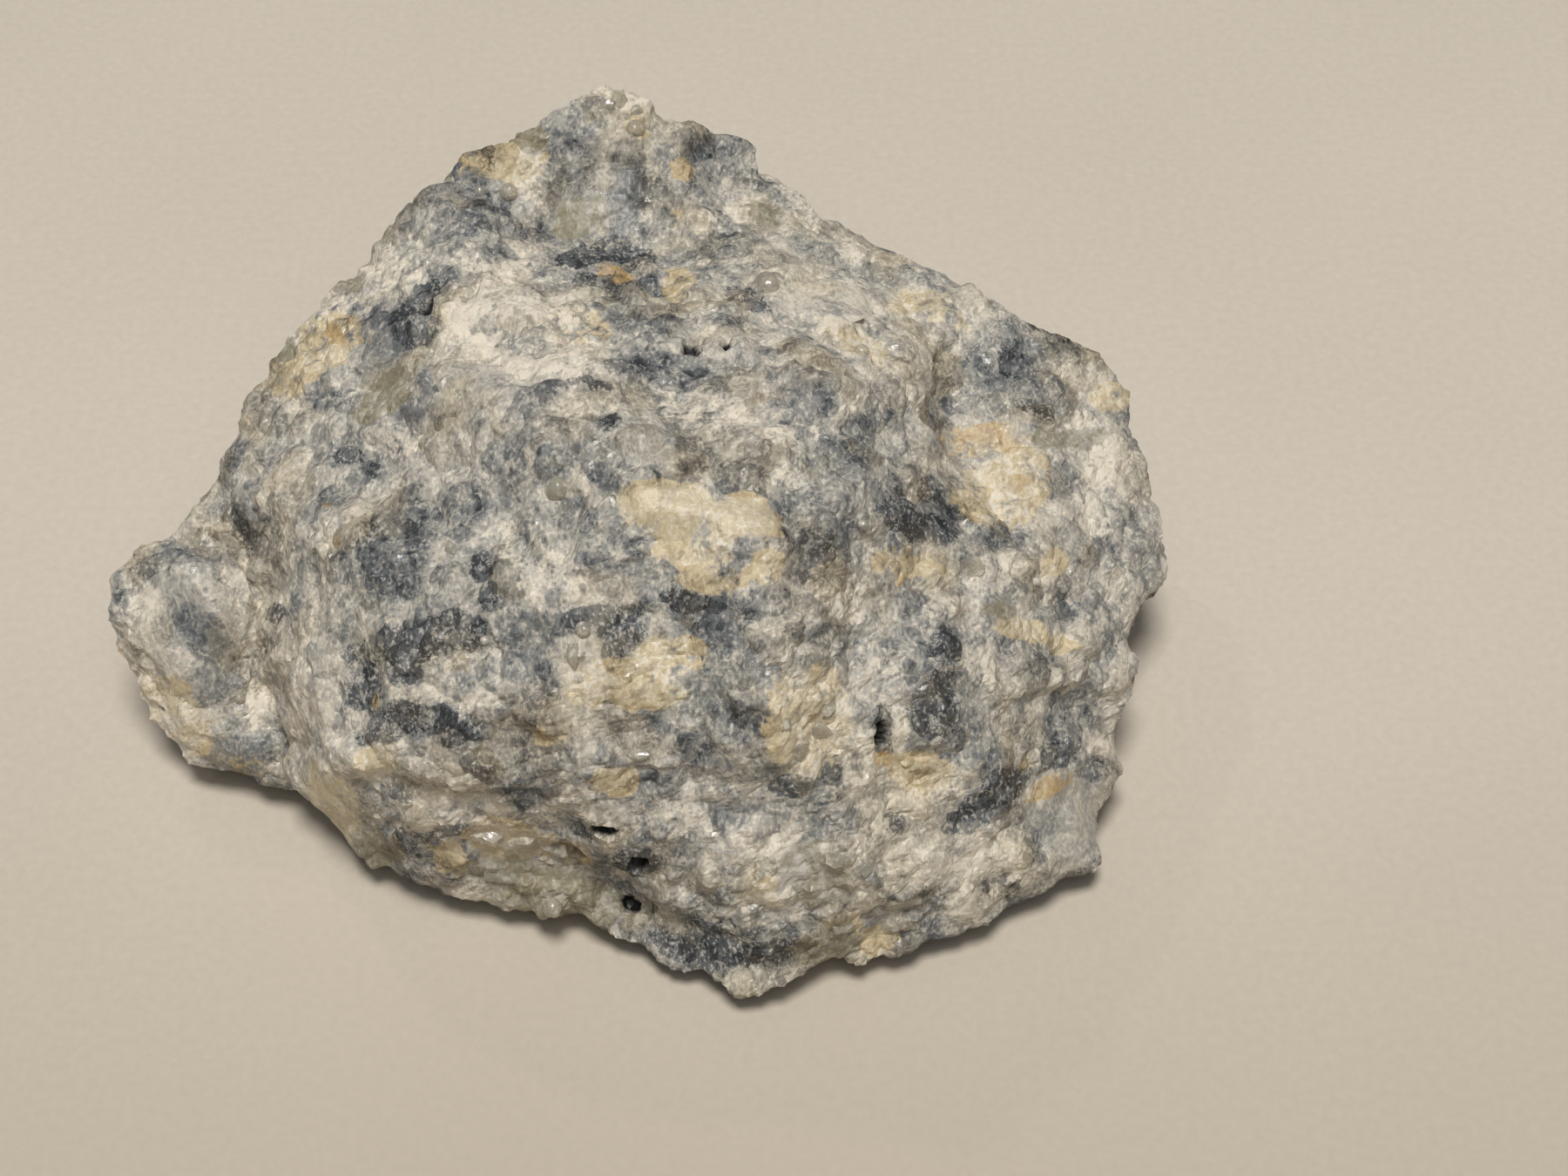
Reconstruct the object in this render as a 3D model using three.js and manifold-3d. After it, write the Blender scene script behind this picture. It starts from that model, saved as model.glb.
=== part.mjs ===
// A broken lump of coarse-grained blue-grey calcite, about 66 mm wide, in millimetres with +Z up.
// It grew as one piece, so it is one closed solid. It rests on a small flat spot at Z = 0, and the origin lies on
// the table under the middle of its bounding box. The front, where the overhanging lower rim shows, faces -Y.
import * as THREE from "three";
import { ConvexHull } from "three/addons/math/ConvexHull.js";
import { ImprovedNoise } from "three/addons/math/ImprovedNoise.js";
import { mergeVertices } from "three/addons/utils/BufferGeometryUtils.js";
import Module from "manifold-3d";

// The corners that show from the front and above are laid out as seen from one viewpoint. A corner is written as
// [across, up, height]: across and up on the plane through AIM that faces the viewpoint, and its height above the
// table. All of them are in millimetres.
const VIEW_ELEVATION = THREE.MathUtils.degToRad(50);
const VIEW_DISTANCE = 190;
const AIM = new THREE.Vector3(9.4, 0, 8);

const SPLITS = 2; // times that each triangle between corners is cut into four
const EASE = 0.3; // how far a point moves towards its neighbours' mean, which softens the creases
const ROUGHNESS = [
  { depth: 0.6, size: 6.5 }, // broken lumps
  { depth: 0.35, size: 3.1 }, // coarse grains
  { depth: 0.28, size: 1.3 }, // small grains
];
const MIDDLE = new THREE.Vector3(0, 1, 11); // the roughness moves points in and out along lines from here
const GLOBE = 30; // radius of a globe around MIDDLE, on which the neighbours of the hidden corners are found
const LIFT = 40; // flattens the bowl on which neighbouring places on a plane are found
const TABLE_CUT = 12; // depth of the block that is cut away below the table

// The outline, clockwise from the tip.
const OUTLINE = [
  [-11, 31.8, 26],
  [-8.7, 31, 25.5],
  [-7.6, 29.9, 24.5],
  [-5.4, 29.5, 23.5],
  [-3, 28.8, 22.5],
  [-1.5, 27.8, 21.5],
  [-0.8, 26.4, 20.5],
  [0.8, 24.8, 20],
  [2.8, 23.4, 19.5],
  [5.5, 21.7, 19],
  [8.8, 20.2, 18.5],
  [11.6, 18.9, 18.5],
  [14.3, 17.8, 18],
  [16.8, 17, 17.5],
  [19.3, 15.6, 16],
  [20.9, 13.7, 14.5],
  [21.6, 11.5, 13.5],
  [21.5, 10.2, 12.5],
  [22.7, 8.8, 12],
  [23.5, 5.8, 11],
  [23.8, 3, 10],
  [23.5, -0.3, 9],
  [22.3, -3.6, 8],
  [21.3, -6.3, 7],
  [20.9, -8.5, 5.4],
  [21.3, -11.3, 4.2],
  [21.1, -14, 3.2],
  [20, -17, 2.4],
  [17.3, -19, 2],
  [14.8, -20.6, 1.9],
  [12.6, -22.2, 2],
  [9.4, -22.7, 2],
  [5.5, -23.4, 2],
  [3.3, -24.6, 2],
  [-0.3, -26.2, 2],
  [-3, -25.6, 1.8],
  [-5.5, -24.4, 1.8],
  [-8.8, -23.1, 1.8],
  [-11.6, -22.3, 2],
  [-14.3, -21.5, 2],
  [-17.6, -20.1, 2.2],
  [-20.9, -18.7, 2.4],
  [-23.9, -18.5, 2.2],
  [-27, -17.1, 2.4],
  [-29.2, -14.6, 2.8],
  [-31.1, -13, 3.2],
  [-31.9, -11.9, 3.6],
  [-34.7, -12.1, 2.4],
  [-37.1, -11.3, 2.4],
  [-39.3, -9.9, 3.4],
  [-40.8, -7.2, 5.6],
  [-42.4, -4.4, 8],
  [-42.7, -1.4, 11],
  [-41.8, 1.1, 12.5],
  [-40, 2.8, 13.5],
  [-38.1, 3.7, 13.5],
  [-37.7, 5.5, 14],
  [-36, 7.7, 15],
  [-34.5, 9.6, 16],
  [-34.4, 11.6, 17],
  [-32.7, 13.8, 18],
  [-30.5, 16.5, 19.5],
  [-28.3, 19.1, 21],
  [-26.4, 20.6, 21.5],
  [-25.9, 22.4, 22],
  [-23.6, 24.2, 23],
  [-21.2, 25.5, 24],
  [-18.7, 26.7, 24.5],
  [-16.2, 28.4, 25],
  [-14.3, 29, 25.5],
  [-12.9, 31, 25.8],
];

// Corners of the faces inside the outline, from the back of the top to the front rim.
const RELIEF = {
  topBlock: [
    [-13.4, 28.6, 25],
    [-10.7, 29.2, 25.8],
    [-7, 28, 24.2],
    [-3.2, 26.6, 21.4],
    [-14.3, 25, 23],
    [-11.6, 24.6, 22.4],
    [-9.2, 24.4, 22.2],
    [-5.5, 24.5, 22.2],
    [-18.7, 24.8, 23.4],
  ],
  crevice: [
    [-15.6, 22.1, 21.4],
    [-11.8, 21.4, 20.6],
    [-8.4, 21, 20.8],
    [-4.6, 21.4, 21.2],
  ],
  plateau: [
    [-21.8, 22.3, 23.6],
    [-18.7, 18.6, 25.2],
    [-14.2, 17.6, 25.6],
    [-9.9, 17.4, 24.8],
    [-1.1, 17.2, 24.4],
    [-5.5, 14.6, 26.2],
    [-16.4, 14.2, 26.6],
    [-10.8, 13.4, 27],
  ],
  crest: [
    [-20.9, 13.5, 25],
    [-15.4, 10.4, 26.8],
    [-8.8, 9.6, 27.4],
    [-2.2, 10.8, 26.6],
    [3.3, 12.9, 25.2],
    [7.2, 13.5, 22.4],
  ],
  upperRight: [
    [0, 21.6, 20.8],
    [3.3, 19, 21.5],
    [7.2, 17.3, 19.8],
    [11, 16.5, 18.6],
    [2.8, 16.2, 23.4],
  ],
  rightValley: [
    [9.9, 12.9, 17.8],
    [10.5, 8.5, 16.2],
  ],
  rightShoulder: [
    [13.8, 15.1, 18.2],
    [17.6, 13.5, 17],
    [20.4, 10.7, 13.6],
    [15.4, 9.6, 16.6],
    [21.5, 7.4, 12.4],
    [18.2, 6.3, 14.6],
  ],
  upperFace: [
    [-18.7, 6.3, 24.2],
    [-12.1, 5.2, 26],
    [-5, 4.7, 26.4],
    [-0.6, 3, 25.6],
    [4.4, 6.3, 24],
    [8.8, 6.3, 20.4],
  ],
  leftSlope: [
    [-33, 10.7, 17.8],
    [-29.2, 13.5, 20.4],
    [-25.3, 10.7, 22.6],
    [-31.4, 6.3, 17.8],
    [-35.2, 5.8, 14.6],
    [-26.4, 16.2, 21.6],
    [-23.7, 19, 23.6],
    [-24.8, 6.3, 21.6],
  ],
  middleFace: [
    [-27.5, 1.9, 20],
    [-20.9, 0.8, 22.2],
    [-14.3, -0.8, 23],
    [-7.7, -0.8, 23.6],
    [-0.8, -2.5, 23.2],
    [4.4, -1.4, 20.4],
    [9.9, -0.3, 18.6],
    [15.4, 1.9, 16],
    [20.4, 3, 13],
  ],
  lowerFace: [
    [-30.8, 1.9, 17],
    [-30.3, -4.7, 15],
    [-24.8, -4.7, 18.8],
    [-18.7, -5.8, 19],
    [-12.1, -6.3, 19.4],
    [-5.5, -6.9, 19.6],
    [-0.6, -8.5, 19.4],
    [4.4, -8.5, 16.6],
    [9.9, -7.4, 16],
    [15.4, -6.3, 13.2],
    [19.3, -5.8, 10.4],
    [-27.5, -11.3, 11.8],
    [-23.1, -10.7, 14.8],
    [-17.6, -11.3, 15.2],
    [-11, -11.8, 15.6],
    [-4.4, -12.4, 15],
    [1.7, -13.5, 13.8],
    [7.7, -13.5, 12],
    [13.2, -12.4, 10.8],
    [18.2, -11.8, 7.6],
  ],
  ledge: [
    [-26.4, -15.4, 6.6],
    [-22.5, -14.9, 10],
    [-18.2, -14.3, 11.4],
    [-12.1, -14.9, 11.4],
    [-7.7, -17.1, 10.4],
    [-3.3, -18.4, 9.4],
    [1.7, -20.1, 7.4],
    [6.6, -19.5, 7.6],
    [11.6, -18.4, 6.8],
    [16, -17.1, 5],
  ],
  undercut: [
    [-21.5, -17.1, 5],
    [-17.1, -17.3, 6],
    [-13.8, -17.9, 5.6],
    [-9.9, -19.5, 3.4],
    [-6.1, -21.2, 4],
    [-2.2, -23.1, 4],
    [1.7, -23.1, 3.8],
    [6.1, -21.5, 4.6],
    [10.5, -20.9, 3.8],
  ],
  knob: [
    [-37.6, 1.7, 13.8],
    [-40, 0.2, 12.4],
    [-39.1, -3.6, 11],
    [-36.3, -1.4, 12.8],
    [-36.9, -6.9, 8.6],
    [-34.9, -10, 5.4],
  ],
  knobGroove: [
    [-34, 2.6, 12.4],
    [-33, -1.9, 10.4],
    [-32.5, -6, 7.4],
    [-32, -9.1, 5.4],
  ],
};

// Corners that the stone itself hides from that viewpoint, as [X, Y, Z].
const HIDDEN = {
  backUpper: [
    [-31, -5, 7.4],
    [-29.4, -1, 8.6],
    [-27.4, 3.6, 9.4],
    [-25, 8, 12],
    [-21.6, 13.6, 14.6],
    [-17.4, 19.2, 16],
    [-11.6, 24, 18],
    [-4.6, 28.4, 20.6],
    [-0.8, 30, 19.6],
    [5.6, 28.8, 17.2],
    [11.6, 26, 15],
    [17, 22.8, 14],
    [22.6, 19.2, 13.6],
    [28, 16.2, 11.8],
    [30.8, 13, 9.6],
    [32.2, 8.6, 7.4],
    [32.2, 2.6, 6],
    [30.2, -4.2, 4.6],
  ],
  backLower: [
    [-26.8, -4, 4.4],
    [-25.6, 2.4, 4.6],
    [-22.6, 9.4, 6],
    [-16.6, 17, 6.6],
    [-9.2, 23.6, 8.2],
    [-2.2, 28, 9.4],
    [6, 26.6, 7.4],
    [13, 22.6, 6.2],
    [20, 18, 6.2],
    [26.6, 14.4, 5],
    [29.8, 8.6, 3.8],
    [29.4, 1.6, 2.8],
  ],
  underRim: [
    [-24.4, -8.6, 2.8],
    [-21.6, -1, 2.4],
    [-19.6, 7, 2.2],
    [-13.6, 14.4, 2.4],
    [-6, 20.6, 3],
    [4, 21.4, 2.6],
    [12.8, 17, 2.2],
    [20.6, 12.6, 2.2],
    [25.6, 6, 1.8],
    [25.8, -4, 1.6],
    [24, -12.4, 1.4],
    [18, -17.6, 1.2],
    [9, -20.4, 1.1],
    [0, -18.2, 1.1],
    [-9, -15.4, 1.4],
    [-17, -12.4, 1.8],
  ],
  restSpot: [
    [-11, -5, -0.9],
    [-10, 3, -0.9],
    [-5, 9.4, -0.9],
    [3.6, 10.8, -0.9],
    [10.6, 7.6, -0.9],
    [14, 0, -0.9],
    [11.4, -7.4, -0.9],
    [4, -10.8, -0.9],
    [-4.6, -9.6, -0.9],
    [1.4, 0, -1.1],
  ],
};

const sideways = new THREE.Vector3(1, 0, 0);
const towardsEye = new THREE.Vector3(0, -Math.cos(VIEW_ELEVATION), Math.sin(VIEW_ELEVATION));
const upwards = new THREE.Vector3().crossVectors(towardsEye, sideways);
const EYE = AIM.clone().addScaledVector(towardsEye, VIEW_DISTANCE);

// The point at a height above the table that shows at a place on the plane through AIM.
function seenAt([across, up, height]) {
  const onPlane = AIM.clone().addScaledVector(sideways, across).addScaledVector(upwards, up);
  const ray = onPlane.sub(EYE);
  return EYE.clone().addScaledVector(ray, (height - EYE.z) / ray.z);
}

// Where a point shows on the plane through AIM, as across and up.
function shownAt(point) {
  const ray = point.clone().sub(EYE);
  const onPlane = ray.multiplyScalar(-VIEW_DISTANCE / ray.dot(towardsEye)).add(EYE).sub(AIM);
  return new THREE.Vector2(onPlane.dot(sideways), onPlane.dot(upwards));
}

// Where a point shows on a map of the globe around MIDDLE, which has the side away from the eye in its centre.
function mapped(point) {
  const direction = point.clone().sub(MIDDLE).normalize();
  const place = new THREE.Vector2(direction.dot(sideways), direction.dot(upwards));
  return place.multiplyScalar(GLOBE / (1 - direction.dot(towardsEye)));
}

function isInside(place, outline) {
  let inside = false;
  outline.forEach((a, i) => {
    const b = outline[(i + 1) % outline.length];
    const crosses = a.y > place.y !== b.y > place.y;
    if (crosses && place.x < a.x + ((b.x - a.x) * (place.y - a.y)) / (b.y - a.y)) inside = !inside;
  });
  return inside;
}

// Triangles that join the places on the plane into a net with no long slivers, as far as the outline. The places
// are lifted onto a bowl, where the underside of their convex hull is that net.
function net(places, outline) {
  const lifted = places.map(({ x, y }) => new THREE.Vector3(x, y, (x * x + y * y) / LIFT));
  const index = new Map(lifted.map((place, i) => [place, i]));
  const faces = new ConvexHull().setFromPoints(lifted).faces.filter((face) => face.normal.z < 0);
  const triangles = faces.map((face) => {
    const around = [face.edge, face.edge.next, face.edge.next.next];
    return around.map((edge) => index.get(edge.head().point));
  });
  return triangles.filter(([a, b, c]) => {
    const middle = places[a].clone().add(places[b]).add(places[c]).divideScalar(3);
    return isInside(middle, outline);
  });
}

// The closed skin of the stone: a net over the corners that show and one over the hidden corners, which share the
// outline.
function skin() {
  const outline = OUTLINE.map(seenAt);
  const seen = Object.values(RELIEF).flat().map(seenAt);
  const hidden = Object.values(HIDDEN).flat().map((corner) => new THREE.Vector3(...corner));
  const front = net([...outline, ...seen].map(shownAt), outline.map(shownAt));
  const back = net([...outline, ...hidden].map(mapped), outline.map(mapped));
  const beyondOutline = (i) => (i < outline.length ? i : i + seen.length);
  return {
    points: [...outline, ...seen, ...hidden],
    triangles: [...front.map(([a, b, c]) => [a, c, b]), ...back.map((triangle) => triangle.map(beyondOutline))],
  };
}

// Each triangle is cut into four at the middles of its edges.
function split({ points, triangles }) {
  const all = [...points];
  const middles = new Map();
  const middle = (a, b) => {
    const key = Math.min(a, b) + ":" + Math.max(a, b);
    if (!middles.has(key)) {
      middles.set(key, all.length);
      all.push(all[a].clone().lerp(all[b], 0.5));
    }
    return middles.get(key);
  };
  const quarters = triangles.flatMap(([a, b, c]) => {
    const [ab, bc, ca] = [middle(a, b), middle(b, c), middle(c, a)];
    return [[a, ab, ca], [ab, b, bc], [ca, bc, c], [ab, bc, ca]];
  });
  return { points: all, triangles: quarters };
}

// Every point moves part of the way to the mean of its neighbours.
function ease({ points, triangles }, share) {
  const near = points.map(() => new Set());
  for (const [a, b, c] of triangles) {
    near[a].add(b).add(c);
    near[b].add(c).add(a);
    near[c].add(a).add(b);
  }
  const eased = points.map((point, i) => {
    const mean = new THREE.Vector3();
    near[i].forEach((j) => mean.addScaledVector(points[j], 1 / near[i].size));
    return point.clone().lerp(mean, share);
  });
  return { points: eased, triangles };
}

// Every point moves in or out along its line from the middle, by smooth noise.
function roughen({ points, triangles }) {
  const noise = new ImprovedNoise();
  const moved = points.map((point) => {
    const out = point.clone().sub(MIDDLE).normalize();
    const move = ROUGHNESS.reduce(
      (sum, { depth, size }) => sum + 2 * depth * noise.noise(point.x / size, point.y / size, point.z / size),
      0,
    );
    return point.clone().addScaledVector(out, move);
  });
  return { points: moved, triangles };
}

const wasm = await Module();
wasm.setup();

function solidOf(vertProperties, triVerts) {
  return new wasm.Manifold(new wasm.Mesh({ numProp: 3, vertProperties, triVerts }));
}

// The block of space under the table, which cuts the flat spot that the stone rests on.
function underTheTable() {
  const reach = 200;
  const box = new THREE.BoxGeometry(reach, reach, TABLE_CUT).translate(0, 0, -TABLE_CUT / 2);
  box.deleteAttribute("normal");
  box.deleteAttribute("uv");
  const merged = mergeVertices(box);
  return solidOf(merged.attributes.position.array, new Uint32Array(merged.index.array));
}

function stoneGeometry() {
  let whole = skin();
  for (let i = 0; i < SPLITS; i++) whole = split(whole);
  whole = roughen(ease(whole, EASE));
  const rough = solidOf(
    new Float32Array(whole.points.flatMap((point) => point.toArray())),
    new Uint32Array(whole.triangles.flat()),
  );
  const mesh = rough.subtract(underTheTable()).getMesh();
  const geometry = new THREE.BufferGeometry()
    .setAttribute("position", new THREE.BufferAttribute(mesh.vertProperties, 3))
    .setIndex(new THREE.BufferAttribute(mesh.triVerts, 1));
  geometry.computeBoundingBox();
  const centre = geometry.boundingBox.getCenter(new THREE.Vector3());
  geometry.translate(-centre.x, -centre.y, 0);
  geometry.computeVertexNormals();
  return geometry;
}

const calcite = new THREE.MeshStandardMaterial({ color: 0xa8a79f, roughness: 0.6, metalness: 0 });
const stone = new THREE.Mesh(stoneGeometry(), calcite);
stone.name = "calcite_lump";

const part = new THREE.Group();
part.add(stone);
export default part;
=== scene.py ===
"""A broken lump of coarse-grained blue-grey calcite on a sheet of pale paper."""

import math

import bmesh
import bpy
import numpy as np
from bpy.props import FloatProperty, FloatVectorProperty, IntProperty, PointerProperty
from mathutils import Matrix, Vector
from mathutils.bvhtree import BVHTree


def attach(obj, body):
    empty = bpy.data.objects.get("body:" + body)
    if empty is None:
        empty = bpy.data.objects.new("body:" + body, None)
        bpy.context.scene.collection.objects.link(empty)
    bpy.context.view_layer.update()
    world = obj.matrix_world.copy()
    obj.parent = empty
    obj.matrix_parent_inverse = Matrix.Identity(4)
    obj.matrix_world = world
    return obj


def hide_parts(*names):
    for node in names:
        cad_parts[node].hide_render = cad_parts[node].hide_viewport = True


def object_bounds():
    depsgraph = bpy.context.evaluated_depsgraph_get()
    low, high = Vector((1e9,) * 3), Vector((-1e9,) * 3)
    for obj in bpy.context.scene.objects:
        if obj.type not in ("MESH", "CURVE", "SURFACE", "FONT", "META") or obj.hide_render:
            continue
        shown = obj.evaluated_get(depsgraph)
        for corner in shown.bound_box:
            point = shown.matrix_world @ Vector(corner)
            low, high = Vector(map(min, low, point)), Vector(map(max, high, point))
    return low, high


bl_info = {
    "name": "Calcite Specimen",
    "version": (1, 0, 0),
    "blender": (4, 5, 0),
    "location": "3D View > Sidebar > Calcite",
    "description": "Builds a broken lump of coarse-grained calcite on a sheet of paper",
    "category": "Add Mesh",
}

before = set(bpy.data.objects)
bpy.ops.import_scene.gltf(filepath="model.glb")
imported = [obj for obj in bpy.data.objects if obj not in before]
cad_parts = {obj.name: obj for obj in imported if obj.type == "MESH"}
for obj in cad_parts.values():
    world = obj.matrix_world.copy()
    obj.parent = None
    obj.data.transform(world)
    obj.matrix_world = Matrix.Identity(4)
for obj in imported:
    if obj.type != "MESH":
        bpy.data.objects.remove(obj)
CAD_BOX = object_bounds()

MM = 0.001
NODE = "calcite_lump"
PLAIN_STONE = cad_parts[NODE].data

# The viewpoint that the stone is laid out from. Places on the stone are given across and up, in
# millimetres, on the plane through AIM that faces the viewpoint.
VIEW_ELEVATION = math.radians(50)
VIEW_DISTANCE = 190 * MM
VIEW_WIDTH = 99 * MM  # how much of the plane through AIM the camera takes in
AIM = Vector((8.997, -1.461, 8.0)) * MM
SIDEWAYS = Vector((1, 0, 0))
TOWARDS_EYE = Vector((0, -math.cos(VIEW_ELEVATION), math.sin(VIEW_ELEVATION)))
UPWARDS = TOWARDS_EYE.cross(SIDEWAYS)
EYE = AIM + TOWARDS_EYE * VIEW_DISTANCE

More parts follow.
